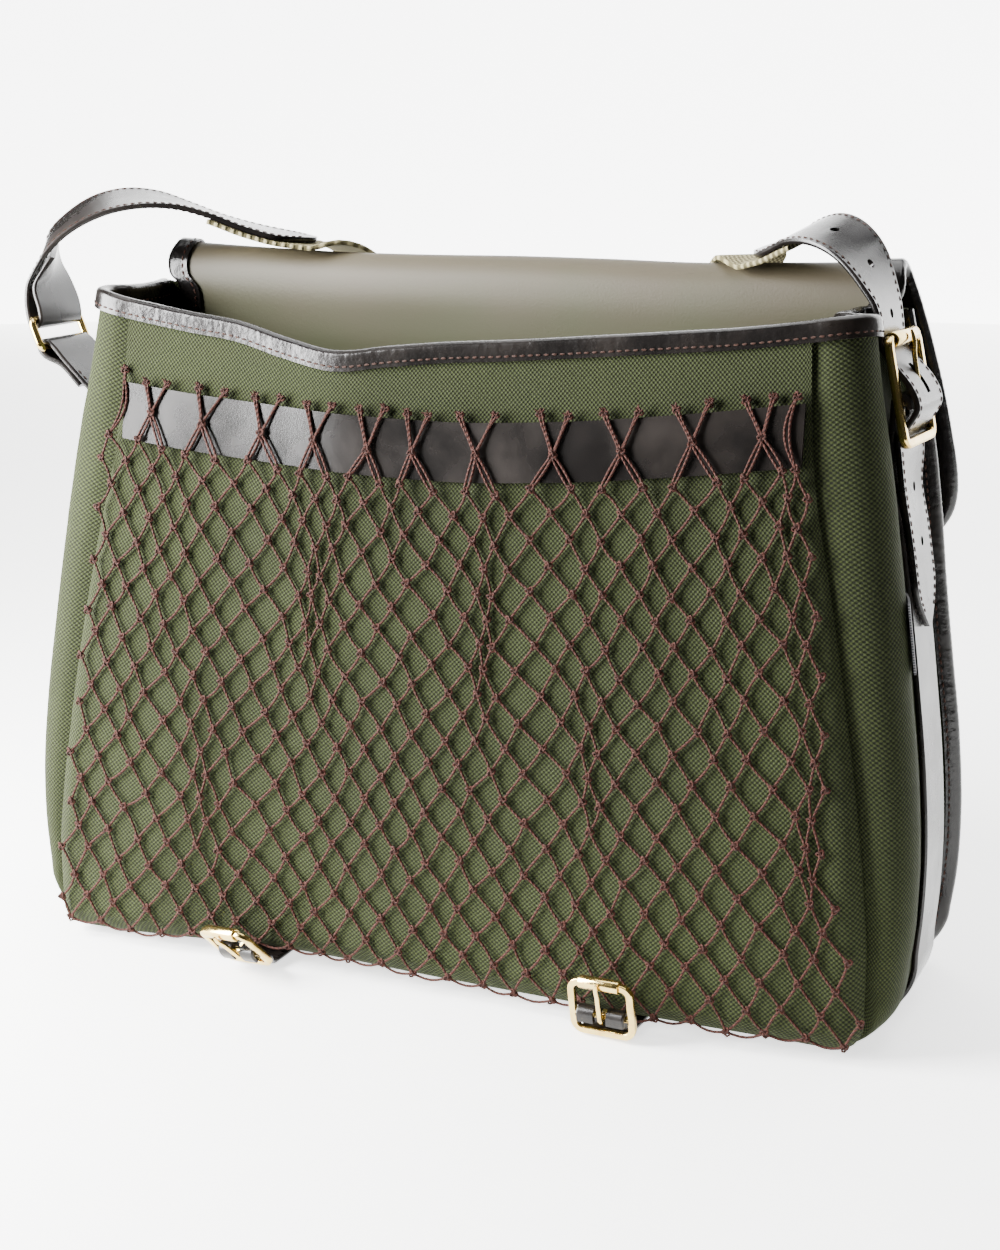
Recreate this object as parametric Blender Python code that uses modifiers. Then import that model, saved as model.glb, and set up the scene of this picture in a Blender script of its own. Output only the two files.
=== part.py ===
"""Hunting game bag: canvas body with a thrown-back flap, a net pocket and a buckled shoulder strap.

Frame: the origin is the centre of the base on the floor, +X runs to the bag's right as it is seen
from the front, the front faces -Y and +Z is up. The tables and sizes below are in millimetres, and
MM turns them into Blender's metres where a mesh is made.
"""
import math

import bmesh
import bpy
import numpy as np
from mathutils import Euler, Matrix, Vector

MM = 0.001

# Walls and gaps
CANVAS = 1.6
LINING = 0.9
BINDING = 1.2
STRAP_LEATHER = 2.6
WEBBING_THICKNESS = 2.4
BAND_THICKNESS = 2.0
GAP = 0.3

# Body: one row for each height, the right half in front view and the depths in side view.
BODY_COLUMNS = ("height", "side_x", "panel_x", "panel_y", "column_y", "back_y", "pinch_left", "pinch_right",
                "seam_left", "seam_right")
BODY_ROWS = (
    (0, 206.0, 208.0, -69.0, -57.0, 60.0, 1.0, 1.5, 9.0, 9.0),
    (20, 219.5, 209.0, -70.0, -58.0, 60.0, 1.5, 3.0, 9.5, 9.5),
    (45, 224.5, 209.0, -70.0, -58.0, 60.0, 3.0, 4.5, 9.5, 9.5),
    (76, 226.0, 206.5, -68.5, -57.5, 59.5, 4.0, 5.0, 9.8, 9.8),
    (115, 224.0, 201.5, -65.0, -55.5, 58.0, 4.5, 5.0, 9.8, 9.8),
    (160, 218.5, 194.0, -60.5, -53.0, 55.5, 4.5, 4.5, 9.5, 9.5),
    (205, 212.5, 185.5, -55.0, -49.5, 52.0, 4.5, 4.5, 8.5, 8.5),
    (255, 205.0, 175.5, -48.5, -45.0, 46.5, 4.5, 6.0, 5.5, 5.5),
    (290, 198.5, 171.5, -43.5, -41.0, 41.5, 4.0, 9.5, 2.5, 5.0),
    (325, 193.0, 169.5, -39.0, -37.1, 37.0, 3.0, 17.0, -1.0, 6.0),
)
RIM_HEIGHT = 325.0
GUSSET_CORNER_RADIUS = 33.0
PANEL_CORNER_RADIUS = 13.0
COLUMN_BULGE = 1.6
COLUMN_CORNER_DEPTH = 17.0

# Front rim: its height along X, and how far the front wall leans out at the rim and at the base.
FRONT_COLUMNS = ("x", "rim_z", "rim_lean", "base_lean", "hem_z")
FRONT_ROWS = (
    (-210, 324.6, 0.0, 0.0, 1.8),
    (-194, 324.6, 0.0, 0.0, 2.0),
    (-171, 320.5, 0.0, -1.0, 2.4),
    (-142, 316.0, -0.5, 0.0, 3.8),
    (-109, 312.0, -1.5, 3.0, 6.0),
    (-84, 306.0, -4.0, 4.0, 7.0),
    (-50, 301.0, -8.0, 3.0, 6.6),
    (-17, 305.6, -5.5, 0.5, 5.4),
    (25, 308.6, -3.0, 0.0, 4.4),
    (61, 311.5, -1.5, -1.5, 3.8),
    (100, 315.0, -0.5, -4.5, 3.4),
    (138, 318.5, 0.0, -4.0, 3.0),
    (164, 322.0, 0.0, -3.0, 2.6),
    (193, 325.7, 0.0, 0.0, 2.0),
    (210, 325.7, 0.0, 0.0, 1.8),
)

# Flap: y, z and half width of its lining from the bag's inside, over the ridge and down behind.
FLAP_ROWS = (
    (35.8, 298.0, 181.0),
    (34.2, 310.0, 182.0),
    (32.6, 322.0, 183.0),
    (32.8, 328.0, 188.5),
    (34.2, 335.0, 189.5),
    (38.6, 340.9, 188.5),
    (44.0, 343.4, 188.0),
    (49.4, 340.9, 188.5),
    (52.6, 334.5, 190.5),
    (56.2, 317.0, 196.0),
    (60.6, 292.0, 202.5),
    (64.6, 266.0, 208.0),
    (68.3, 241.0, 211.5),
)
FLAP_EDGE = (72.8, 208.0, 212.5)
FLAP_CORNER_RADIUS = 30.0
FLAP_BOUND_FROM = 3
LINING_BACK = 3.0
RIDGE_COLUMNS = ("x", "drop")
RIDGE_ROWS = (
    (-188, 0.0),
    (-170, 0.5),
    (-150, 1.5),
    (-130, 2.3),
    (-100, 3.1),
    (-60, 3.2),
    (-20, 2.7),
    (25, 2.3),
    (55, 2.7),
    (85, 3.1),
    (115, 2.6),
    (145, 1.4),
    (188, 0.0),
)

# Bindings
BINDING_REACH = 9.5
BINDING_HEADROOM = 1.3
SEAM_FLANGE = 6.5
SEAM_REACH = 5.0
CORNER_EASE = 1.0
SEAM_FOLD = 7.0
SEAM_LAYERS = 2 * CANVAS + 0.6

# Net pocket
BAND_COLUMNS = ("x", "top")
BAND_ROWS = (
    (-175, 282.4),
    (-128, 277.8),
    (-84, 275.2),
    (-38, 273.0),
    (2, 272.4),
    (52, 274.9),
    (114, 281.5),
    (175, 290.0),
)
BAND_HEIGHT = 27.0
NET_BAND_HALF_WIDTH = 172.0
NET_THICKNESS = 2.0
NET_SLACK = 1.4
NET_RISE = 2.0
NET_LOW = 9.0
NET_EASE = 52.0
NET_COLUMNS = 8
NET_ROWS = 6
NET_STRAND_SHARE = 0.1

# Straps
STRAP_WIDTH = 36.0
STRAP_Y = 6.0
CLOSING_STRAP_WIDTH = 24.0
CLOSING_STRAP_X = 92.0
TIP_LENGTH = 22.0
HOLE_RADIUS = 2.2
HOLE_SIDES = 8

# Roller buckles: name, place, turn in degrees, outer width and height, wire radius and the bar's offset.
BUCKLE_ROWS = (
    ("side_buckle", 202.5, 8.0, 291.0, -12.0, 0.0, 86.0, 46.0, 50.0, 2.1, -5.0),
    ("bottom_buckle_right", 95.0, -86.5, 15.4, 8.0, -2.0, -6.5, 33.0, 28.0, 1.7, -3.5),
    ("bottom_buckle_left", -93.0, -88.0, 16.5, 42.0, -8.0, -17.0, 33.0, 28.0, 1.7, -3.5),
)
BAR_SHARE = 0.85
ROLLER_WALL = 1.1
PRONG_RADIUS = 1.2
CHAPE_LEATHER = 2.2
FRAME_CORNER = 4.5

# Ring that joins the left side strap to the shoulder strap.
RING_TOP = (-241.5, 2.0, 306.0)
RING_BOTTOM = (-236.0, 2.0, 292.0)
RING_WIDTH = 42.0
RING_WIRE = 1.9
LOOP_STEPS = 6

# Left leather end from its tip over the ridge to the ring: x, y, z, yaw and tilt in degrees.
STRAP_LEFT_ROUTE = (
    (-113, 48, 345.7, 18, 1),
    (-130.1, 42, 348.0, 19, 1),
    (-146.2, 36.6, 352.0, 19, -1),
    (-161.5, 31.4, 357.2, 21, -3),
    (-176.8, 25.9, 362.4, 21, 0),
    (-191.8, 20.1, 365.6, 21, 8),
    (-206.8, 14.2, 365.2, 23, 14),
    (-221, 9.2, 360.9, 27, 16),
    (-233.2, 5, 353.3, 31, 13),
    (-242.6, 1.6, 343.5, 32, 9),
    (-246.4, 1.5, 332.3, 20, 4),
    (-246.4, 2, 323, 4, 0),
    (-246, 2, 313, 0, 0),
)
# Webbing behind the bag, between the two leather ends: a plain U clear of the flap and the floor.
WEBBING_ROUTE = (
    (-104.5, 54, 343.4, 28, -9),
    (-97, 62.5, 337.5, 38, -17),
    (-91, 71.5, 326.5, 46, -19),
    (-86, 80, 311, 52, -12),
    (-81, 88, 293, 44, -6),
    (-77, 93, 273, 26, 0),
    (-74, 97, 248, 10, 0),
    (-71, 98, 215, 0, 0),
    (-66, 98, 180, 0, 0),
    (-56, 98, 120, 0, 0),
    (-38, 98, 66, 0, 0),
    (-12, 98, 38, 0, 0),
    (18, 98, 38, 0, 0),
    (44, 98, 66, 0, 0),
    (62, 98, 120, 0, 0),
    (72, 98, 180, 0, 0),
    (77, 98, 215, 0, 0),
    (80, 97, 248, -10, 0),
    (84, 93, 273, -28, 0),
    (89, 87, 296, -46, -6),
    (96, 78, 314, -52, -12),
    (103, 69.5, 328.5, -46, -17),
    (109.5, 60.5, 338.8, -38, -15),
    (115, 52.5, 343.2, -30, -4),
)
# Right leather end from its tip to the side buckle; the buckle and the tail follow by calculation.
STRAP_RIGHT_ROUTE = (
    (120, 46.5, 346.4, -24, 12),
    (131.4, 39.4, 349.9, -25, 15),
    (141.4, 32, 354.8, -29, 19),
    (150.9, 24.8, 358.4, -31, 18),
    (160.9, 18.6, 358.2, -31, 14),
    (170.5, 14, 354.3, -27, 8),
    (178.9, 11.1, 346.9, -20, 3),
    (185.5, 9.6, 336.4, -11, 0),
    (191, 8.5, 325, -3, 1),
)
OVERLAP_LEFT = 55.0
OVERLAP_RIGHT = 42.0
SEWN_GAP = 0.6
RETURN_ROWS = 6
NEAR_ROWS = 8
MIDDLE_OF_BAG = (0.0, 30.0, 170.0)
TAIL_HEIGHTS = (250, 230, 208, 186)
STRAP_HOLE_PLACES = (54.0, 78.0, 101.5, 186.0, 211.0)

# Slots that let the prongs through: size along the buckle's own axes.
PRONG_SLOT = (4.6, 16.0, 14.0)
SIDE_STRAP_SLOT = (6.5, 14.0, 13.0)
CHAPE_SLOT = (6.5, 12.0, 11.0)

# Places in the gusset's profile
FRONT_FLANK = 7
STRAP_PLACE = 9
SEAM_ROOT = 12
SEAM_EDGE = 13

# Stations round the gusset and shares across the panels
SIDE_HEIGHTS = (325, 307, 286, 262, 230, 195, 160, 120, 80, 52, 33)
CORNER_TURNS = (15, 30, 45, 60, 75)
BASE_COUNT = 8
PANEL_ACROSS = (-1.0, -0.985, *(float(share) for share in np.linspace(-0.955, 0.955, 13)), 0.985, 1.0)
PANEL_UPS = (0.0, 0.012, 0.035, 0.1, 0.22, 0.36, 0.5, 0.64, 0.77, 0.88, 0.945, 1.0)
CROSS_SHARES = tuple(float(share) for share in np.linspace(-1, 1, 9))

SIDEWAYS = np.array([1.0, 0.0, 0.0])
DEPTHWAYS = np.array([0.0, 1.0, 0.0])

# Colours, roughness and metallic value of each finish
FINISHES = {
    "canvas": ((0.105, 0.125, 0.048, 1.0), 0.9, 0.0),
    "leather": ((0.012, 0.010, 0.009, 1.0), 0.32, 0.0),
    "lining": ((0.115, 0.105, 0.070, 1.0), 0.6, 0.0),
    "brass": ((0.83, 0.64, 0.29, 1.0), 0.22, 1.0),
    "twine": ((0.060, 0.020, 0.014, 1.0), 0.8, 0.0),
    "webbing": ((0.46, 0.43, 0.27, 1.0), 0.9, 0.0),
    "label": ((0.18, 0.18, 0.17, 1.0), 0.7, 0.0),
}


def clear_scene():
    """Remove the objects that the file opened with."""
    for item in list(bpy.data.objects):
        bpy.data.objects.remove(item, do_unlink=True)


def new_collection(name):
    """A collection linked to the scene."""
    group = bpy.data.collections.new(name)
    bpy.context.scene.collection.children.link(group)
    return group


def through(keys, values):
    """Smooth curve through pairs of key and value, with no overshoot between them."""
    keys = np.array(keys, dtype=float)
    values = np.array(values, dtype=float)
    slopes = np.diff(values) / np.diff(keys)
    tangents = np.zeros(len(values))
    tangents[0] = slopes[0]
    tangents[-1] = slopes[-1]
    for index in range(1, len(values) - 1):
        before, after = slopes[index - 1], slopes[index]
        if before * after > 0:
            tangents[index] = 2 * before * after / (before + after)

    def at(key):
        key = min(max(key, keys[0]), keys[-1])
        cell = min(int(np.searchsorted(keys, key, side="right")) - 1, len(keys) - 2)
        span = keys[cell + 1] - keys[cell]
        t = (key - keys[cell]) / span
        start, end = values[cell], values[cell + 1]
        rise_in, rise_out = tangents[cell] * span, tangents[cell + 1] * span
        return float(
            (2 * t**3 - 3 * t**2 + 1) * start
            + (t**3 - 2 * t**2 + t) * rise_in
            + (3 * t**2 - 2 * t**3) * end
            + (t**3 - t**2) * rise_out
        )

    return at


def table_curves(columns, rows):
    """A smooth curve for each column of a table, over the table's first column."""
    keys = [row[0] for row in rows]
    return {name: through(keys, [row[place] for row in rows]) for place, name in enumerate(columns) if place}


BODY = table_curves(BODY_COLUMNS, BODY_ROWS)
FRONT = table_curves(FRONT_COLUMNS, FRONT_ROWS)
BAND = table_curves(BAND_COLUMNS, BAND_ROWS)
RIDGE = table_curves(RIDGE_COLUMNS, RIDGE_ROWS)
CORNER_X = BODY["side_x"](GUSSET_CORNER_RADIUS) - GUSSET_CORNER_RADIUS


def smooth_path(points, spacing):
    """Catmull-Rom curve through rows of numbers, read at about even spacing of its first three."""
    rows = np.array(points, dtype=float)
    padded = np.vstack([2 * rows[0] - rows[1], rows, 2 * rows[-1] - rows[-2]])
    steps = 12
    fine = [rows[0]]
    for index in range(1, len(padded) - 2):
        p0, p1, p2, p3 = padded[index - 1:index + 3]
        for step in range(1, steps + 1):
            t = step / steps
            fine.append(0.5 * (2 * p1 + (p2 - p0) * t + (2 * p0 - 5 * p1 + 4 * p2 - p3) * t**2
                               + (3 * p1 - p0 - 3 * p2 + p3) * t**3))
    fine = np.array(fine)
    lengths = np.concatenate([[0], np.cumsum(np.linalg.norm(np.diff(fine[:, :3], axis=0), axis=1))])
    count = max(2, int(round(lengths[-1] / spacing)) + 1)
    marks = np.linspace(0, lengths[-1], count)
    return np.stack([np.interp(marks, lengths, fine[:, place]) for place in range(rows.shape[1])], axis=1)


def unit(vector):
    """The vector at length one."""
    return vector / np.linalg.norm(vector)


def tangents_of(path):
    """Unit direction of a path at each of its points, halfway between the stretches beside it."""
    steps = np.diff(np.asarray(path, dtype=float), axis=0)
    steps /= np.linalg.norm(steps, axis=1, keepdims=True)
    sums = np.vstack([steps[:1], steps[1:] + steps[:-1], steps[-1:]])
    return sums / np.linalg.norm(sums, axis=1, keepdims=True)


def finish(name):
    """The Principled material of a finish, made once."""
    material = bpy.data.materials.get(name)
    if material is None:
        colour, roughness, metallic = FINISHES[name]
        material = bpy.data.materials.new(name)
        material.use_nodes = True
        shader = material.node_tree.nodes["Principled BSDF"]
        shader.inputs["Base Color"].default_value = colour
        shader.inputs["Roughness"].default_value = roughness
        shader.inputs["Metallic"].default_value = metallic
        material.diffuse_color = colour
    return material


def add_object(name, mesh, finish_name):
    """Put a mesh in the bag's collection under its node's name."""
    piece = bpy.data.objects.new(name, mesh)
    PARTS.objects.link(piece)
    mesh.materials.clear()
    mesh.materials.append(finish(finish_name))
    mesh.shade_smooth()
    mesh.set_sharp_from_angle(angle=math.radians(40))
    return piece


def grid_mesh(name, rows):
    """Mesh of quads over rows of points in millimetres."""
    mesh = bpy.data.meshes.new(name)
    build = bmesh.new()
    lines = [[build.verts.new(Vector(point) * MM) for point in row] for row in rows]
    for upper, lower in zip(lines, lines[1:]):
        for place in range(len(upper) - 1):
            build.faces.new((upper[place], upper[place + 1], lower[place + 1], lower[place]))
    build.to_mesh(mesh)
    build.free()
    return mesh


def wall(piece, thickness, offset=-1.0):
    """Give an open surface its thickness, behind its outer face unless offset says otherwise."""
    solid = piece.modifiers.new("wall", "SOLIDIFY")
    solid.thickness = thickness * MM
    solid.offset = offset
    solid.use_even_offset = False
    return piece


def side_surface(height, side):
    """Half width, pinch and depths of the body at a height, on the left (-1) or the right (+1)."""
    pinch = BODY["pinch_right" if side > 0 else "pinch_left"](height)
    return BODY["side_x"](height), pinch, BODY["column_y"](height), BODY["back_y"](height)


def panel_y(x, height):
    """Outer face of the front panel."""
    share = min(max(height / RIM_HEIGHT, 0.0), 1.0)
    lean = FRONT["rim_lean"](x) * share**3 + FRONT["base_lean"](x) * (1 - share) ** 2
    return BODY["panel_y"](height) + lean


def panel_half_width(height, hem):
    """Half width of the front panel, with its lower corners rounded."""
    rise = max(height - hem, 0.0)
    cut = 0.0
    if rise < PANEL_CORNER_RADIUS:
        cut = PANEL_CORNER_RADIUS - math.sqrt(PANEL_CORNER_RADIUS**2 - (PANEL_CORNER_RADIUS - rise) ** 2)
    return BODY["panel_x"](height) - cut


def panel_point(across, up, stand_off=0.0, top_drop=0.0):
    """A point of the front panel: across from -1 to 1 and up from 0 at the hem to 1 at the rim."""
    nominal = 2.0 + up * (RIM_HEIGHT - 2.0)
    x = across * panel_half_width(nominal, 2.0)
    hem = FRONT["hem_z"](x)
    z = hem + up * (FRONT["rim_z"](x) - top_drop - hem)
    return x, panel_y(x, z) - stand_off, z


def roll_share(across, up):
    """How far the front panel's edge has rolled back to the gusset, from 0 to 1."""
    side = {1.0: 1.0, 0.985: 0.35}.get(round(abs(across), 3), 0.0)
    hem = {0.0: 1.0, 0.012: 0.35}.get(round(up, 3), 0.0)
    return max(side, hem)


def sheet_point(across, up):
    """A point of the front panel's outer face, its edges rolled back."""
    x, y, z = panel_point(across, up, top_drop=BINDING + GAP)
    edge_y = BODY["column_y"](z) - CANVAS - 2 * GAP
    return x, y + roll_share(across, up) * max(edge_y - y, 0.0), z


def front_panel():
    """Front panel: one canvas sheet whose side edges and hem roll back to the gusset."""
    rows = [[sheet_point(across, up) for across in PANEL_ACROSS] for up in PANEL_UPS]
    return wall(add_object("front_panel", grid_mesh("front_panel", rows), "canvas"), CANVAS)


def gusset_side_profile(height, side):
    """Rows of inward offset and Y across the gusset at a side station, front flange to back seam."""
    half, pinch, column_y, back_y = side_surface(height, side)
    inner = half - BODY["panel_x"](height)
    corner = inner * 0.62
    face = column_y - COLUMN_BULGE
    profile = [
        (inner + 12, column_y),
        (inner + 2, column_y),
        (inner - 0.25 * (inner - corner), column_y - 0.5 * COLUMN_BULGE),
        (inner - 0.65 * (inner - corner), face),
    ]
    for angle in (0, 30, 60, 90):
        turn = math.radians(angle)
        profile.append((corner * (1 - math.sin(turn)), face + COLUMN_CORNER_DEPTH * (1 - math.cos(turn))))
    root = back_y - 3.2
    seam_in = BODY["seam_right" if side > 0 else "seam_left"](height)
    flat = STRAP_WIDTH / 2 + 1
    profile += [
        (pinch, max(STRAP_Y - flat, face + COLUMN_CORNER_DEPTH + 4)),
        (pinch, STRAP_Y),
        (pinch, min(STRAP_Y + flat - max(height - 280, 0) * 0.12, root - 8)),
        (0.75 * seam_in + 0.25 * pinch, root - 4.5),
        (seam_in, root + 0.8),
        (seam_in - SEAM_FLANGE, back_y - CANVAS / 2 - GAP),
    ]
    return profile


def base_lift(x):
    """How far the base's front edge is off the floor."""
    return max(FRONT["hem_z"](x) - 0.4, 1.6)


def gusset_base_profile(x):
    """Rows of upward offset and Y across the gusset along the base, in the side profile's order."""
    lift = base_lift(x)
    front = BODY["column_y"](0)
    back = BODY["back_y"](0)
    return [
        (lift + 13, front),
        (lift + 7, front),
        (lift + 2.6, front + 0.4),
        (lift + 0.7, front + 1.8),
        (lift, front + 4),
        (lift, front + 7),
        (0.6 * lift, -43),
        (0, -34),
        (0, -14),
        (0, STRAP_Y),
        (0, 40),
        (1.4, back - 9),
        (3.2, back - 4),
        (3.0, back + 9),
    ]


def gusset_top(x, y):
    """How high the gusset's own rim stands: the front rim on the columns, then nearly level."""
    level = RIM_HEIGHT - 1.5 * math.exp(-(((y - 8) / 26) ** 2))
    share = min(max((y + 34) / 14, 0.0), 1.0)
    share = share * share * (3 - 2 * share)
    return FRONT["rim_z"](x) + share * (level - FRONT["rim_z"](x))


class Station:
    """One cross-section of the gusset: its foot on the outline, its outward way and its profile."""

    def __init__(self, foot_x, foot_z, out_x, out_z, profile, rim_share=0.0):
        self.foot = (foot_x, foot_z)
        self.out = (out_x, out_z)
        self.profile = profile
        self.rim_share = rim_share
        self.ease = CORNER_EASE * 4 * (out_x * out_z) ** 2
        self.layers = SEAM_LAYERS + self.ease

    def at(self, inward, y):
        """Point at an inward offset and a depth."""
        x = self.foot[0] - inward * self.out[0]
        z = self.foot[1] - inward * self.out[1]
        if self.rim_share > 0:
            z += self.rim_share * (gusset_top(x, y) - RIM_HEIGHT - BINDING - GAP)
        return x, y, z

    def row(self):
        """All the profile's points."""
        return [self.at(inward, y) for inward, y in self.profile]

    def seam(self, depth, stretch=0.0):
        """Edge of the back seam at a depth behind the gusset's face, and the flange's direction."""
        (root_in, root_y), (edge_in, edge_y) = self.profile[SEAM_ROOT], self.profile[SEAM_EDGE]
        out, back = unit(np.array([root_in - edge_in, edge_y - root_y]))
        inward = edge_in - stretch * out + depth * back
        y = edge_y + stretch * back + depth * out
        flange = np.array([out * self.out[0], back, out * self.out[1]])
        return np.array(self.at(inward, y)), flange


def blend_profiles(first, second, share):
    """Profile a share of the way from one to another."""
    return [(a + share * (c - a), b + share * (d - b)) for (a, b), (c, d) in zip(first, second)]


def side_station(height, side):
    """Station on the left (-1) or right (+1) side."""
    share = (height - GUSSET_CORNER_RADIUS) / (RIM_HEIGHT - GUSSET_CORNER_RADIUS)
    return Station(side * BODY["side_x"](height), height, side, 0.0, gusset_side_profile(height, side), share)


def corner_station(degrees, side):
    """Station on a rounded base corner, turned down from the side."""
    turn = math.radians(degrees)
    out_x, out_z = side * math.cos(turn), -math.sin(turn)
    flank = gusset_side_profile(GUSSET_CORNER_RADIUS * (1 - math.sin(turn)), side)
    base = gusset_base_profile(side * CORNER_X)
    profile = blend_profiles(flank, base, math.sin(turn) ** 2)
    return Station(side * CORNER_X + GUSSET_CORNER_RADIUS * out_x,
                   GUSSET_CORNER_RADIUS * (1 + out_z), out_x, out_z, profile)


def base_station(x):
    """Station on the base."""
    return Station(x, 0.0, 0.0, -1.0, gusset_base_profile(x))


def stations():
    """All stations of the gusset, from the left rim round the base to the right rim."""
    left = [side_station(height, -1) for height in SIDE_HEIGHTS]
    left += [corner_station(turn, -1) for turn in CORNER_TURNS]
    base = [base_station(float(x)) for x in np.linspace(-CORNER_X, CORNER_X, BASE_COUNT)]
    right = [corner_station(turn, 1) for turn in reversed(CORNER_TURNS)]
    right += [side_station(height, 1) for height in reversed(SIDE_HEIGHTS)]
    return left, base, right


def gusset():
    """Gusset: one canvas strip that makes both sides, the base and the two front columns."""
    left, base, right = stations()
    rows = [station.row() for station in left + base + right]
    return wall(add_object("gusset", grid_mesh("gusset", rows), "canvas"), CANVAS)


def back_panel():
    """Back panel: one canvas sheet, its edge turned out beside the gusset's to make the seam."""
    left, base, right = stations()
    around = left + base + right
    build = bmesh.new()

    def vert(point):
        return build.verts.new(Vector(point) * MM)

    edge = [vert(station.seam(station.layers)[0]) for station in around]
    turned = [vert(station.seam(station.layers, -SEAM_FOLD)[0]) for station in around]
    last = len(around) - 1
    rows = []
    for place in range(len(left)):
        start, end = turned[place], turned[last - place]
        row = [start]
        for step in range(1, BASE_COUNT - 1):
            point = start.co.lerp(end.co, step / (BASE_COUNT - 1))
            point.y = (BODY["back_y"](point.z / MM) + CANVAS) * MM
            row.append(build.verts.new(point))
        rows.append(row + [end])
    rows.append(turned[len(left):len(left) + BASE_COUNT])
    for upper, lower in zip(rows, rows[1:]):
        for place in range(BASE_COUNT - 1):
            build.faces.new((upper[place], upper[place + 1], lower[place + 1], lower[place]))
    for place in range(last):
        build.faces.new((edge[place], turned[place], turned[place + 1], edge[place + 1]))
    mesh = bpy.data.meshes.new("back_panel")
    build.to_mesh(mesh)
    build.free()
    return wall(add_object("back_panel", mesh, "canvas"), CANVAS)


def flap_stations():
    """Rows (y, z, half width) of the flap down to its free edge, its corners rounded by an arc."""
    rows = list(FLAP_ROWS)
    top_y, top_z, top_half = FLAP_ROWS[-1]
    edge_y, edge_z, edge_half = FLAP_EDGE
    run = math.hypot(edge_y - top_y, edge_z - top_z)
    for degrees in (0, 25, 50, 70, 90):
        turn = math.radians(degrees)
        share = 1 - FLAP_CORNER_RADIUS * (1 - math.sin(turn)) / run
        half = top_half + share * (edge_half - top_half) - FLAP_CORNER_RADIUS * (1 - math.cos(turn))
        rows.append((top_y + share * (edge_y - top_y), top_z + share * (edge_z - top_z), half))
    return rows


def ridge_drop(x, height):
    """How far the ridge sags between its ends."""
    share = min(max((height - 250) / 90, 0.0), 1.0)
    return share * RIDGE["drop"](x)


def flap_profile():
    """Rows of (y, z, half width, normal y, normal z) along the flap, normals on the lining's side."""
    rows = flap_stations()
    directions = tangents_of([(y, z) for y, z, _ in rows])
    return [(y, z, half, -dz, dy) for (y, z, half), (dy, dz) in zip(rows, directions)]


def flap_point(row, share, depth):
    """A point of the flap at a depth behind the lining's face."""
    y, z, half, normal_y, normal_z = row
    x = share * half
    return x, y - depth * normal_y, z - depth * normal_z - ridge_drop(x, z)


def flap():
    """Flap: canvas sewn inside the back panel's top, over the ridge and down behind the bag."""
    depth = LINING + GAP + CANVAS
    rows = [[flap_point(row, share, depth) for share in CROSS_SHARES] for row in flap_profile()]
    rows = [row[::-1] for row in rows]
    return wall(add_object("flap", grid_mesh("flap", rows), "canvas"), CANVAS)


def lining():
    """Lining: one smooth sheet from inside the bag's back over the ridge to the flap's edge."""
    rows = []
    for height in (12, *SIDE_HEIGHTS[:2:-1]):
        half = BODY["side_x"](max(height, 33)) - BODY["seam_right"](height) - 6.0
        if height < GUSSET_CORNER_RADIUS:
            half -= GUSSET_CORNER_RADIUS - height
        y = BODY["back_y"](height) - LINING_BACK
        rows.append([(share * half, y, height) for share in CROSS_SHARES])
    rows += [[flap_point(row, share, 0.0) for share in CROSS_SHARES] for row in flap_profile()]
    return wall(add_object("flap_lining", grid_mesh("flap_lining", rows), "lining"), LINING)


def folded_strip(name, path, outward, normal, half_gaps, reach=BINDING_REACH):
    """Leather folded over an edge: a U section carried along a path with its own directions."""
    over = BINDING + BINDING_HEADROOM
    rows = []
    for place, point in enumerate(path):
        half = half_gaps[place] + GAP + BINDING
        profile = ((-reach, half), (0.2, half), (over, 0.55 * half),
                   (over, -0.55 * half), (0.2, -half), (-reach, -half))
        rows.append([tuple(np.asarray(point) + out * outward[place] + across * normal[place])
                     for out, across in profile])
    return wall(add_object(name, grid_mesh(name, rows), "leather"), BINDING)


def rim_half(side):
    """Rim points of one side's gusset, from the seam to the front, each with its way up the cloth."""
    top = side_station(SIDE_HEIGHTS[0], side).row()
    below = side_station(SIDE_HEIGHTS[1], side).row()
    pairs = []
    for place in range(SEAM_ROOT - 1, FRONT_FLANK - 4, -1):
        x, y, z = top[place]
        turn = 1.0 if place < FRONT_FLANK - 1 else 0.0
        shift = (0.0, CANVAS / 2) if turn else (-side * CANVAS / 2, 0.0)
        point = np.array([x + shift[0], y + shift[1], z])
        pairs.append((point, unit(np.array(top[place]) - np.array(below[place]))))
    return pairs


def rim_binding():
    """Black leather folded over the rim of the front and both sides."""
    pairs = rim_half(-1)
    for across in PANEL_ACROSS:
        if abs(across) == 0.985:
            continue
        top, below = (np.array(sheet_point(across, up)) for up in (PANEL_UPS[-1], PANEL_UPS[-2]))
        depth = 1.7 if abs(across) == 1.0 else CANVAS + GAP / 2
        pairs.append((top + np.array([0.0, depth, 0.0]), unit(top - below)))
    pairs += rim_half(1)[::-1]
    path = np.array([point for point, _ in pairs])
    up = np.array([rise for _, rise in pairs])
    side = np.array([unit(np.cross(tangent, rise)) for tangent, rise in zip(tangents_of(path), up)])
    return folded_strip("rim_binding", path, up, side, [CANVAS + GAP] * len(path))


def back_seam_binding():
    """Black leather folded over the back seam, standing out at the sides and laid back at the base."""
    left, base, right = stations()
    around = left + base + right
    path = np.array([station.seam(station.layers / 2)[0] for station in around])
    outward = np.array([station.seam(0)[1] for station in around])
    normal = np.array([unit(np.cross(tangent, out)) for out, tangent in zip(outward, tangents_of(path))])
    half_gaps = [station.layers / 2 + 0.6 * station.ease for station in around]
    return folded_strip("back_seam_binding", path, outward, normal, half_gaps, reach=SEAM_REACH)


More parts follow.
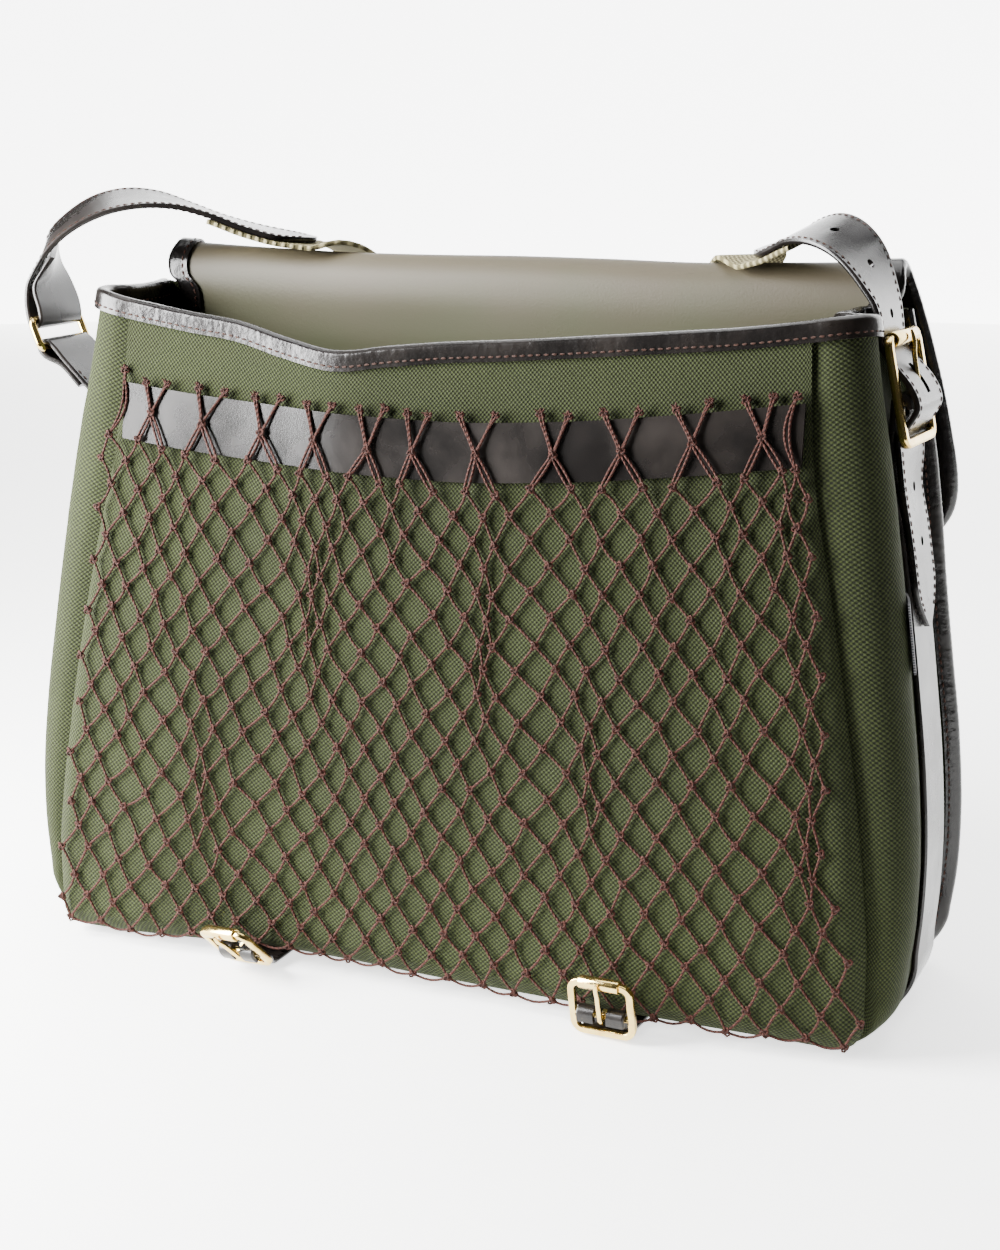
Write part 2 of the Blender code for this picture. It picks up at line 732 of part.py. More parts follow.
def flap_binding():
    """Black leather folded over the flap's side edges and its free edge."""
    rows = flap_profile()[FLAP_BOUND_FROM:]
    middle = (LINING + GAP + CANVAS) / 2
    edge = []
    for row in rows:
        end, inner = (np.array(flap_point(row, share, middle)) for share in CROSS_SHARES[-1:-3:-1])
        edge.append((end, unit(end - inner), row))
    lip, above = rows[-1], rows[-2]
    corner = edge.pop()[1]
    down = unit(np.array(flap_point(lip, 0.0, middle)) - np.array(flap_point(above, 0.0, middle)))
    foot = [(np.array(flap_point(lip, share, middle)), down, lip) for share in CROSS_SHARES[::-1]]
    foot[0] = (foot[0][0], unit(corner + down), lip)
    foot[-1] = (foot[-1][0], unit(corner * (-1, 1, 1) + down), lip)
    left = []
    for row in reversed(rows[:-1]):
        end, inner = (np.array(flap_point(row, share, middle)) for share in CROSS_SHARES[:2])
        left.append((end, unit(end - inner), row))
    ends = edge + foot + left
    for place, (end, outward, row) in enumerate(ends):
        if row[1] < FLAP_ROWS[-1][1] - 1 and row is not lip:
            share = (FLAP_ROWS[-1][1] - row[1]) / (FLAP_ROWS[-1][1] - FLAP_EDGE[1])
            ends[place] = (end, unit(outward + down * share), row)
    path = [end for end, _, _ in ends]
    outward = [way for _, way, _ in ends]
    normal = [np.array([0.0, row[3], row[4]]) for _, _, row in ends]
    return folded_strip("flap_binding", path, outward, normal, [middle + 0.1] * len(path))


def net_band():
    """Leather strip that the net is laced over."""
    end = NET_BAND_HALF_WIDTH - 2.5
    columns = [share * BODY["panel_x"](BAND["top"](0.0)) for share in PANEL_ACROSS[2:-2]]
    rows = []
    for drop in (BAND_HEIGHT, BAND_HEIGHT / 2, 0.0):
        row = []
        for x in (-end, *columns, end):
            z = BAND["top"](x) - drop
            row.append((x, panel_y(x, z) - 2 * GAP - BAND_THICKNESS, z))
        rows.append(row)
    return wall(add_object("net_band", grid_mesh("net_band", rows), "leather"), BAND_THICKNESS)


def net_stand_off(x, height):
    """How far the net's back lies off the panel: over the band at the top, nearer the canvas below."""
    clear = BAND["top"](x) - BAND_HEIGHT - 10.0
    share = min(max((height - clear) / NET_EASE + 1.0, 0.0), 1.0)
    return NET_SLACK + share * (BAND_THICKNESS + 4 * GAP - NET_SLACK)


def net_point(across, up):
    """A point of the net's outer face."""
    x = across * BODY["panel_x"](BAND["top"](0.0))
    z = NET_LOW + up * (BAND["top"](x) + NET_RISE - NET_LOW)
    x = across * (BODY["panel_x"](z) + 3.5 * (1 - up))
    return x, panel_y(x, z) - net_stand_off(x, z) - NET_THICKNESS, z


def net():
    """Net pocket: a coarse diamond lattice, cut through, over the front panel and the band."""
    build = bmesh.new()
    made = {}

    def knot(column, row):
        if (column, row) not in made:
            place = Vector(net_point(-1 + column / NET_COLUMNS, row / (2 * NET_ROWS)))
            made[column, row] = build.verts.new(place * MM)
        return made[column, row]

    for row in range(2 * NET_ROWS - 1):
        for column in range(row % 2, 2 * NET_COLUMNS - 1, 2):
            outer = [knot(column, row + 1), knot(column + 1, row),
                     knot(column + 2, row + 1), knot(column + 1, row + 2)]
            middle = sum((vert.co for vert in outer), Vector()) / 4
            inner = [build.verts.new(vert.co.lerp(middle, NET_STRAND_SHARE)) for vert in outer]
            for place in range(4):
                after = (place + 1) % 4
                build.faces.new((outer[place], outer[after], inner[after], inner[place]))
    mesh = bpy.data.meshes.new("net")
    build.to_mesh(mesh)
    build.free()
    return wall(add_object("net", mesh, "twine"), NET_THICKNESS)


def free_rows(points, spacing):
    """Strap rows (centre, width direction) through points (x, y, z, yaw, tilt)."""
    table = smooth_path(points, spacing)
    centres = table[:, :3]
    rows = []
    for centre, (yaw, tilt), tangent in zip(centres, np.radians(table[:, 3:5]), tangents_of(centres)):
        wanted = np.array([-math.sin(yaw) * math.cos(tilt), math.cos(yaw) * math.cos(tilt), math.sin(tilt)])
        rows.append((centre, unit(wanted - tangent * np.dot(wanted, tangent))))
    return rows


def level_rows(points, way):
    """Strap rows through plain points that share one width direction."""
    return [(np.array(point, dtype=float), way) for point in points]


def angles_of(row):
    """Point with the yaw and tilt of a strap row, as the route tables give them."""
    centre, way = row
    return (*centre, math.degrees(math.atan2(-way[0], way[1])), math.degrees(math.asin(way[2])))


def faces_of(rows):
    """Unit normals of a strap at its rows."""
    along = tangents_of([centre for centre, _ in rows])
    return [unit(np.cross(way, tangent)) for (_, way), tangent in zip(rows, along)]


def offset_rows(rows, depth):
    """Strap rows moved along the strap's own normals."""
    return [(centre + depth * face, way) for (centre, way), face in zip(rows, faces_of(rows))]


def travelled_by(rows):
    """Distance along a strap's middle line at each row."""
    centres = np.array([centre for centre, _ in rows])
    return np.concatenate([[0], np.cumsum(np.linalg.norm(np.diff(centres, axis=0), axis=1))])


def first_stretch(rows, length):
    """The rows within a length of a strap's start."""
    return [row for row, mark in zip(rows, travelled_by(rows)) if mark <= length]


def spot(rows, distance):
    """Point on a strap's middle line and the normal there."""
    marks = travelled_by(rows)
    centres = np.array([centre for centre, _ in rows])
    place = min(int(np.searchsorted(marks, distance)), len(rows) - 1)
    point = [float(np.interp(distance, marks, centres[:, axis])) for axis in range(3)]
    step = unit(centres[place] - centres[place - 1])
    return point, unit(np.cross(rows[place][1], step))


def tip_width(left_over, width, pointed):
    """Half width near a strap's end: full, or drawn to a blunt point."""
    if not pointed or left_over >= TIP_LENGTH:
        return width / 2
    share = left_over / TIP_LENGTH
    return width / 2 * (0.16 + 0.84 * math.sin(math.pi / 2 * share))


def layered_mesh(name, edges):
    """Mesh between two edges, each cell split on its outer diagonal, so that sewn layers bend alike."""
    mesh = bpy.data.meshes.new(name)
    build = bmesh.new()
    lines = [[build.verts.new(Vector(point) * MM) for point in pair] for pair in edges]
    heart = Vector(MIDDLE_OF_BAG) * MM
    for (a, b), (d, c) in zip(lines, lines[1:]):
        if ((a.co + c.co) / 2 - heart).length > ((b.co + d.co) / 2 - heart).length:
            cells = ((a, b, c), (a, c, d))
        else:
            cells = ((a, b, d), (b, c, d))
        for cell in cells:
            build.faces.new(cell)
    build.to_mesh(mesh)
    build.free()
    return mesh


def strap(name, rows, width, thickness, finish_name, pointed=(False, False), sewn=False):
    """A strap carried along its rows, with square or pointed ends; sewn where it lies on another layer."""
    travelled = travelled_by(rows)
    edges = []
    for (centre, way), mark in zip(rows, travelled):
        half = min(tip_width(mark, width, pointed[0]), tip_width(travelled[-1] - mark, width, pointed[1]))
        edges.append([tuple(centre + share * half * way) for share in (-1, 1)])
    mesh = layered_mesh(name, edges) if sewn else grid_mesh(name, edges)
    return wall(add_object(name, mesh, finish_name), thickness, offset=0.0)


def cutter(name, mesh, matrix):
    """An object kept for a Boolean cut only."""
    tool = bpy.data.objects.new(name, mesh)
    CUTTERS.objects.link(tool)
    tool.matrix_world = matrix
    tool.hide_render = True
    tool.display_type = "WIRE"
    return tool


def cylinder_mesh(name, radius, length, sides):
    """Closed cylinder along its own Z, in metres from sizes in millimetres."""
    mesh = bpy.data.meshes.new(name)
    build = bmesh.new()
    bmesh.ops.create_cone(build, cap_ends=True, segments=sides, radius1=radius * MM, radius2=radius * MM,
                          depth=length * MM)
    build.to_mesh(mesh)
    build.free()
    return mesh


def punch(piece, centres, directions):
    """Cut round holes through a strap."""
    for number, (centre, direction) in enumerate(zip(centres, directions)):
        turn = Vector((0, 0, 1)).rotation_difference(Vector(direction)).to_matrix().to_4x4()
        mesh = cylinder_mesh(f"{piece.name}_hole_{number}", HOLE_RADIUS, 9.0, HOLE_SIDES)
        tool = cutter(f"{piece.name}_hole_{number}", mesh, Matrix.Translation(Vector(centre) * MM) @ turn)
        cut = piece.modifiers.new(f"hole_{number}", "BOOLEAN")
        cut.operation = "DIFFERENCE"
        cut.solver = "EXACT"
        cut.object = tool


class Buckle:
    """A roller buckle with a centre bar, in its own axes: X across, Z towards the roller, -Y outwards."""

    def __init__(self, row):
        (self.name, x, y, z, turn_x, turn_y, turn_z,
         self.width, self.height, self.wire, self.bar) = row
        turn = Euler([math.radians(angle) for angle in (turn_x, turn_y, turn_z)])
        self.matrix = Matrix.Translation(Vector((x, y, z))) @ turn.to_matrix().to_4x4()
        self.bar_radius = self.wire * BAR_SHARE
        self.roller_radius = self.wire + GAP + ROLLER_WALL
        self.top = self.height / 2 - self.wire
        self.width_way = np.array(turn.to_matrix().col[0])

    def world(self, across, out, up):
        """World point, in millimetres, of a point in the buckle's axes."""
        return tuple(self.matrix @ Vector((across, out, up)))

    def route(self, local):
        """Strap rows through places (out, up) on the buckle's middle line."""
        return level_rows([self.world(0.0, out, up) for out, up in local], self.width_way)

    def place(self, piece):
        """Put a piece made in the buckle's axes where the buckle is."""
        piece.matrix_world = Matrix.Translation(self.matrix.translation * MM) @ self.matrix.to_3x3().to_4x4()
        return piece

    def frame(self):
        """Rounded wire frame with its centre bar."""
        outline = rounded_loop(self.width - 2 * self.wire, self.height - 2 * self.wire, FRAME_CORNER)
        points = [(x, 0.0, z) for x, z in outline]
        piece = self.place(wire_piece(f"{self.name}_frame", points, self.wire, cyclic=True))
        length = self.width - 2 * self.wire + 0.7
        mesh = cylinder_mesh(f"{self.name}_bar", self.bar_radius, length, 8)
        turn = Matrix.Translation(Vector((0, 0, self.bar * MM))) @ Matrix.Rotation(math.pi / 2, 4, "Y")
        turn = turn @ Matrix.Rotation(math.radians(11), 4, "Z")
        bar = cutter(f"{self.name}_bar", mesh, piece.matrix_world @ turn)
        join = piece.modifiers.new("centre_bar", "BOOLEAN")
        join.operation = "UNION"
        join.solver = "EXACT"
        join.object = bar
        return piece

    def roller(self):
        """Loose sleeve round the frame's top bar."""
        length = self.width - 2 * self.wire - 9.6
        inner = self.wire + GAP
        outer = self.roller_radius
        mesh = bpy.data.meshes.new(f"{self.name}_roller")
        build = bmesh.new()
        corners = [(length / 2, outer), (-length / 2, outer), (-length / 2, inner), (length / 2, inner)]
        ring = [build.verts.new(Vector((x, 0.0, radius)) * MM) for x, radius in corners]
        for start, end in zip(ring, ring[1:] + ring[:1]):
            build.edges.new((start, end))
        bmesh.ops.spin(build, geom=build.verts[:] + build.edges[:], cent=(0, 0, 0), axis=(1, 0, 0),
                       angle=2 * math.pi, steps=10, use_merge=True)
        bmesh.ops.recalc_face_normals(build, faces=build.faces)
        bmesh.ops.translate(build, verts=build.verts, vec=(0, 0, self.top * MM))
        build.to_mesh(mesh)
        build.free()
        return self.place(add_object(f"{self.name}_roller", mesh, "brass"))

    def prong(self):
        """Prong hooked round the centre bar, its tip resting on the roller."""
        hook = self.bar_radius + GAP + PRONG_RADIUS
        points = []
        for degrees in (20, -20, -60, -100, -140, -178):
            turn = math.radians(degrees)
            points.append((0.0, hook * math.cos(turn), self.bar + hook * math.sin(turn)))
        rest = self.roller_radius + GAP + PRONG_RADIUS
        points += [(0.0, -hook - 0.4, self.bar + 0.3 * (self.top - self.bar)),
                   (0.0, -0.5 * (hook + rest), self.bar + 0.7 * (self.top - self.bar)),
                   (0.0, -rest, self.top),
                   (0.0, -rest + 0.4, self.top + 2.6)]
        return self.place(wire_piece(f"{self.name}_prong", points, PRONG_RADIUS, cyclic=False))

    def wrap(self, leather, entry):
        """Rows of a leather end that comes up behind the frame and folds over the bar."""
        radius = self.bar_radius + GAP + leather / 2
        local = [(entry, -self.top), (0.5 * (entry + radius), 0.5 * (self.bar - self.top))]
        for step in range(7):
            turn = math.radians(30 * step)
            local.append((radius * math.cos(turn), self.bar + radius * math.sin(turn)))
        local.append((-radius, self.bar - 3.0))
        return self.route(local)


def rounded_loop(width, height, radius):
    """Closed outline of a rectangle with round corners, four points to a corner."""
    points = []
    corners = ((1, 1, 0), (-1, 1, 90), (-1, -1, 180), (1, -1, 270))
    for side_x, side_z, first in corners:
        for step in range(4):
            turn = math.radians(first + 30 * step)
            points.append((side_x * (width / 2 - radius) + radius * math.cos(turn),
                           side_z * (height / 2 - radius) + radius * math.sin(turn)))
    return points


def wire_piece(name, points, radius, cyclic):
    """Round brass wire along points: a bevelled curve made into a closed mesh."""
    data = bpy.data.curves.new(name, "CURVE")
    data.dimensions = "3D"
    data.bevel_depth = radius * MM
    data.bevel_resolution = 2
    data.use_fill_caps = True
    spline = data.splines.new("POLY")
    spline.points.add(len(points) - 1)
    for knot, point in zip(spline.points, points):
        knot.co = (*(Vector(point) * MM), 1.0)
    spline.use_cyclic_u = cyclic
    guide = bpy.data.objects.new(name + "_curve", data)
    CUTTERS.objects.link(guide)
    mesh = bpy.data.meshes.new_from_object(guide.evaluated_get(bpy.context.evaluated_depsgraph_get()))
    bpy.data.objects.remove(guide, do_unlink=True)
    build = bmesh.new()
    build.from_mesh(mesh)
    bmesh.ops.remove_doubles(build, verts=build.verts, dist=0.00001)
    bmesh.ops.recalc_face_normals(build, faces=build.faces)
    build.to_mesh(mesh)
    build.free()
    mesh.name = name
    return add_object(name, mesh, "brass")


def laid_rows(side, heights, clearance, y):
    """Rows of a strap lying on the gusset's middle, a clearance off its face."""
    points = []
    for height in heights:
        station = side_station(height, side)
        points.append(station.at(station.profile[STRAP_PLACE][0] - clearance, y))
    return level_rows(points, DEPTHWAYS)


def side_strap_rows(side, clearance):
    """Rows of a side strap down the gusset and round the start of the base corner."""
    rows = laid_rows(side, SIDE_HEIGHTS[3:], clearance, STRAP_Y)
    points = []
    for degrees in CORNER_TURNS[:3]:
        station = corner_station(degrees, side)
        points.append(station.at(station.profile[STRAP_PLACE][0] - clearance, STRAP_Y))
    return rows + level_rows(points, DEPTHWAYS)


def box_mesh(name, size):
    """Box of the given sizes in millimetres."""
    mesh = bpy.data.meshes.new(name)
    build = bmesh.new()
    bmesh.ops.create_cube(build, size=1.0)
    bmesh.ops.scale(build, vec=Vector(size) * MM, verts=build.verts)
    build.to_mesh(mesh)
    build.free()
    return mesh


def cut_slot(piece, buckle, size, out, up):
    """Cut the slot that lets a buckle's prong through a strap."""
    name = f"{piece.name}_slot"
    middle = Matrix.Translation(Vector(buckle.world(0.0, out, up)) * MM) @ buckle.matrix.to_3x3().to_4x4()
    tool = cutter(name, box_mesh(name, size), middle)
    cut = piece.modifiers.new("slot", "BOOLEAN")
    cut.operation = "DIFFERENCE"
    cut.solver = "EXACT"
    cut.object = tool


def right_strap_rows(buckle):
    """Whole route of the right leather end: arc, through the buckle, and the tail on the side strap."""
    half = STRAP_LEATHER / 2
    behind_top = buckle.roller_radius + GAP + half
    over_bar = buckle.bar_radius + 2 * GAP + STRAP_LEATHER + GAP + half
    behind_foot = buckle.wire + GAP + half
    local = ((behind_top, buckle.top), (0.35 * behind_top, buckle.top - 9), (-over_bar + 1.2, buckle.bar + 6),
             (-over_bar - 0.3, buckle.bar + 1.5), (-over_bar - 0.3, buckle.bar - 3.5),
             (-over_bar + 3.6, buckle.bar - 8.5), (behind_foot + 0.4, -buckle.top + 1.4),
             (behind_foot + 0.9, -buckle.top - 4.0))
    through_buckle = buckle.route(local)
    arc = free_rows([*STRAP_RIGHT_ROUTE, angles_of(through_buckle[0])], 8.0)
    clearance = 2 * GAP + 1.5 * STRAP_LEATHER + GAP
    return arc[:-1] + through_buckle + laid_rows(1, TAIL_HEIGHTS, clearance, STRAP_Y + 1)


def ring_loop(centre, start, end):
    """Rows of a leather loop round a ring's bar, between two angles in the XZ plane."""
    radius = RING_WIRE + GAP + STRAP_LEATHER / 2
    points = []
    for step in range(LOOP_STEPS + 1):
        turn = math.radians(start + (end - start) * step / LOOP_STEPS)
        points.append((centre[0] + radius * math.cos(turn), centre[1], centre[2] + radius * math.sin(turn)))
    return level_rows(points, DEPTHWAYS)


def ring():
    """Brass loop between the left side strap and the shoulder strap."""
    top, bottom = Vector(RING_TOP), Vector(RING_BOTTOM)
    rise = top - bottom
    middle = (top + bottom) / 2
    up = rise.normalized()
    outline = rounded_loop(RING_WIDTH, rise.length, 3.0)
    points = [tuple(middle + Vector((0, 1, 0)) * across + up * along) for across, along in outline]
    return wire_piece("strap_ring", points, RING_WIRE, cyclic=True)


def left_strap_rows():
    """Rows of the left leather end: tip, arc, loop round the ring's bar and the return sewn inside."""
    arc = free_rows(STRAP_LEFT_ROUTE, 6.0)
    loop = ring_loop(RING_TOP, 180, 360)
    end, way = loop[-1]
    lead = [(end + np.array([-0.3, 0.0, 4.0]), way)]
    back = offset_rows(arc, -(STRAP_LEATHER + 2 * SEWN_GAP))[-RETURN_ROWS:-2][::-1]
    return arc + loop + lead + back


def shoulder_strap(side_buckle):
    """Shoulder strap: left leather end, webbing and right leather end with its free tail."""
    left = left_strap_rows()
    strap("strap_end_left", left, STRAP_WIDTH, STRAP_LEATHER, "leather", (True, False), sewn=True)

    right = right_strap_rows(side_buckle)
    piece = strap("strap_end_right", right, STRAP_WIDTH, STRAP_LEATHER, "leather", (True, True), sewn=True)
    cut_slot(piece, side_buckle, PRONG_SLOT, -3.6, side_buckle.bar + 9)
    spots = [spot(right, distance) for distance in STRAP_HOLE_PLACES]
    punch(piece, [point for point, _ in spots], [normal for _, normal in spots])

    depth = (STRAP_LEATHER + WEBBING_THICKNESS) / 2 + SEWN_GAP
    under_left = offset_rows(first_stretch(left, OVERLAP_LEFT), -depth)[::-1]
    under_right = offset_rows(first_stretch(right, OVERLAP_RIGHT), depth)
    fine = free_rows([angles_of(under_left[-1]), *WEBBING_ROUTE, angles_of(under_right[0])], 8.0)
    middle = fine[1:NEAR_ROWS] + fine[NEAR_ROWS:-NEAR_ROWS:3] + fine[-NEAR_ROWS:-1]
    strap("strap_webbing", under_left + middle + under_right, STRAP_WIDTH - 1, WEBBING_THICKNESS,
          "webbing", sewn=True)


def side_straps(side_buckle):
    """Side straps: stitched down the gusset, folded round the buckle's bar or the ring."""
    clearance = GAP + STRAP_LEATHER / 2
    entry = side_buckle.wire + 2 * GAP + 1.9 * STRAP_LEATHER
    right = side_buckle.wrap(STRAP_LEATHER, entry)
    piece = strap("side_strap_right", right[::-1] + side_strap_rows(1, clearance), STRAP_WIDTH,
                  STRAP_LEATHER, "leather")
    cut_slot(piece, side_buckle, SIDE_STRAP_SLOT, -1.2, side_buckle.bar - 0.5)

    laid = side_strap_rows(-1, clearance)
    foot, bar = laid[0][0], np.array(RING_BOTTOM)
    lean = math.degrees(math.atan2(bar[2] - foot[2], bar[0] - foot[0]))
    loop = ring_loop(RING_BOTTOM, lean + 90, lean - 90)
    near = loop[-1][0]
    lead = level_rows([near + share * (foot - near) for share in (0.25, 0.55, 0.85)], DEPTHWAYS)
    outer = offset_rows(loop[-1:] + lead, STRAP_LEATHER + GAP + 0.2)[1:3]
    strap("side_strap_left", outer[::-1] + loop + lead + laid, STRAP_WIDTH, STRAP_LEATHER, "leather")


def bottom_chape(buckle):
    """Leather tab from under the front of the base, folded round a bottom buckle's bar."""
    x = buckle.matrix.translation.x
    half = CLOSING_STRAP_WIDTH / 2
    feet = np.linspace(-CORNER_X, CORNER_X, BASE_COUNT)
    lifts = np.interp((x - half, x + half), feet, [base_lift(float(foot)) for foot in feet])
    low = float(min(lifts)) - GAP - CHAPE_LEATHER / 2
    lead = [(x, -50, low), (x, -63, low), (x, -72, low + 0.5)]
    rows = level_rows(lead, SIDEWAYS) + buckle.wrap(CHAPE_LEATHER, buckle.wire + GAP + CHAPE_LEATHER / 2)
    piece = strap(buckle.name.replace("buckle", "chape"), rows, CLOSING_STRAP_WIDTH, CHAPE_LEATHER, "leather")
    cut_slot(piece, buckle, CHAPE_SLOT, -1.0, buckle.bar - 0.4)


def closing_strap(name, x):
    """Strap sewn on the flap's canvas face, hanging from its free edge behind the bag."""
    depth = LINING + CANVAS + 2 * GAP + CHAPE_LEATHER / 2 + 2.2
    rows = [flap_point(row, x / row[2], depth) for row in flap_profile()[9:]]
    foot_y = rows[-1][1] - 1.0
    hanging = [(x, foot_y - 0.6, 170), (x, foot_y, 120), (x, foot_y + 1, 60), (x, foot_y + 2.5, 26),
               (x, foot_y + 3, 20), (x, foot_y + 3.5, 14)]
    strap(name, level_rows(rows[:4] + rows[-1:] + hanging, SIDEWAYS), CLOSING_STRAP_WIDTH, CHAPE_LEATHER,
          "leather", (False, True))


def side_label():
    """Blank woven tab sewn in beside the right side strap, standing a little off the gusset."""
    edge_y = STRAP_Y - STRAP_WIDTH / 2 - 0.8
    rows = []
    for height in (172, 203):
        surface = side_surface(height, 1)
        root = surface[0] - surface[1] + 1.0
        rows.append([(root + share * 6.5, edge_y - share * 23, height) for share in (0, 0.5, 1)][::-1])
    return wall(add_object("side_label", grid_mesh("side_label", rows), "label"), 0.9)


PARTS = None
CUTTERS = None


def main():
    """Build every piece of the bag."""
    global PARTS, CUTTERS
    clear_scene()
    PARTS = new_collection("hunting_game_bag")
    CUTTERS = new_collection("cutters")
    front_panel()
    gusset()
    back_panel()
    lining()
    flap()
    rim_binding()
    back_seam_binding()
    flap_binding()
    net_band()
    net()
    buckles = [Buckle(row) for row in BUCKLE_ROWS]
    for buckle in buckles:
        buckle.frame()
        buckle.roller()
        buckle.prong()
    shoulder_strap(buckles[0])
    side_straps(buckles[0])
    ring()
    for buckle in buckles[1:]:
        bottom_chape(buckle)
    closing_strap("closing_strap_left", -CLOSING_STRAP_X)
    closing_strap("closing_strap_right", CLOSING_STRAP_X)
    side_label()


main()
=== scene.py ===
"""Hunting game bag: the looks of the canvas, leather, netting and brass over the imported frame.

The tables are in millimetres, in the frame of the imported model: +X to the bag's right as it is seen
from the front, the front faces -Y, +Z up. MM turns them into metres where a mesh is made.
"""
import logging
import math
from contextlib import contextmanager
from dataclasses import dataclass, field
from enum import Enum
from typing import Callable, Iterable, Iterator, Sequence

import bmesh
import bpy
import numpy as np
from mathutils import Euler, Matrix, Vector, noise


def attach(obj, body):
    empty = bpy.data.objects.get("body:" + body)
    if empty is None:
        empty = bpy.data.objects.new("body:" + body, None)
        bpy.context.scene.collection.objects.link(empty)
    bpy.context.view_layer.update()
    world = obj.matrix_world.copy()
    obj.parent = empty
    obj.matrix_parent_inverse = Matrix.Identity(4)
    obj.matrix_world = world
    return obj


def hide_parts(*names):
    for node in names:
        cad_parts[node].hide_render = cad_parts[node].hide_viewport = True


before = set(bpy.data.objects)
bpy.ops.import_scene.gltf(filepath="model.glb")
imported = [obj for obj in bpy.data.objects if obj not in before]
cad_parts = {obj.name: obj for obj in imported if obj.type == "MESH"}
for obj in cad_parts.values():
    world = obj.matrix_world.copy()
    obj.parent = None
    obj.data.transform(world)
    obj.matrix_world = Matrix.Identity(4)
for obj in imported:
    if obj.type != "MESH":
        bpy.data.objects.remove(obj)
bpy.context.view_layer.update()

MM = 0.001
LOG = logging.getLogger("game_bag")
BODY_NAME = "root"

Curve = Callable[[float], float]
StrapRow = tuple[np.ndarray, np.ndarray]

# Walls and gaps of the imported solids
CANVAS_WALL = 1.6
LINING_WALL = 0.9
BINDING_WALL = 1.2
STRAP_LEATHER = 2.6
WEBBING_WALL = 2.4
BAND_WALL = 2.0
CHAPE_LEATHER = 2.2
GAP = 0.3
FLOOR_GAP = 0.2

RIM_HEIGHT = 325.0
STRAP_WIDTH = 36.0
STRAP_Y = 6.0
CLOSING_STRAP_WIDTH = 24.0
CLOSING_STRAP_X = 92.0

BODY_COLUMNS = ("height", "side_x", "panel_x", "panel_y", "column_y", "back_y", "pinch_left", "pinch_right",
                "seam_left", "seam_right")
BODY_ROWS = (
    (0, 206.0, 208.0, -69.0, -57.0, 60.0, 1.0, 1.5, 9.0, 9.0),
    (20, 219.5, 209.0, -70.0, -58.0, 60.0, 1.5, 3.0, 9.5, 9.5),
    (45, 224.5, 209.0, -70.0, -58.0, 60.0, 3.0, 4.5, 9.5, 9.5),
    (76, 226.0, 206.5, -68.5, -57.5, 59.5, 4.0, 5.0, 9.8, 9.8),
    (115, 224.0, 201.5, -65.0, -55.5, 58.0, 4.5, 5.0, 9.8, 9.8),
    (160, 218.5, 194.0, -60.5, -53.0, 55.5, 4.5, 4.5, 9.5, 9.5),
    (205, 212.5, 185.5, -55.0, -49.5, 52.0, 4.5, 4.5, 8.5, 8.5),
    (255, 205.0, 175.5, -48.5, -45.0, 46.5, 4.5, 6.0, 5.5, 5.5),
    (290, 198.5, 171.5, -43.5, -41.0, 41.5, 4.0, 9.5, 2.5, 5.0),
    (325, 193.0, 169.5, -39.0, -37.1, 37.0, 3.0, 17.0, -1.0, 6.0),
)
FRONT_COLUMNS = ("x", "rim_z", "rim_lean", "base_lean", "hem_z")
FRONT_ROWS = (
    (-210, 324.6, 0.0, 0.0, 1.8),
    (-194, 324.6, 0.0, 0.0, 2.0),
    (-171, 320.5, 0.0, -1.0, 2.4),
    (-142, 316.0, -0.5, 0.0, 3.8),
    (-109, 312.0, -1.5, 3.0, 6.0),
    (-84, 306.0, -4.0, 4.0, 7.0),
    (-50, 301.0, -8.0, 3.0, 6.6),
    (-17, 305.6, -5.5, 0.5, 5.4),
    (25, 308.6, -3.0, 0.0, 4.4),
    (61, 311.5, -1.5, -1.5, 3.8),
    (100, 315.0, -0.5, -4.5, 3.4),
    (138, 318.5, 0.0, -4.0, 3.0),
    (164, 322.0, 0.0, -3.0, 2.6),
    (193, 325.7, 0.0, 0.0, 2.0),
    (210, 325.7, 0.0, 0.0, 1.8),
)
FLAP_ROWS = (
    (35.8, 298.0, 181.0),
    (34.2, 310.0, 182.0),
    (32.6, 322.0, 183.0),
    (32.8, 328.0, 188.5),
    (34.2, 335.0, 189.5),
    (38.6, 340.9, 188.5),
    (44.0, 343.4, 188.0),
    (49.4, 340.9, 188.5),
    (52.6, 334.5, 190.5),
    (56.2, 317.0, 196.0),
    (60.6, 292.0, 202.5),
    (64.6, 266.0, 208.0),
    (68.3, 241.0, 211.5),
)
FLAP_EDGE = (72.8, 208.0, 212.5)

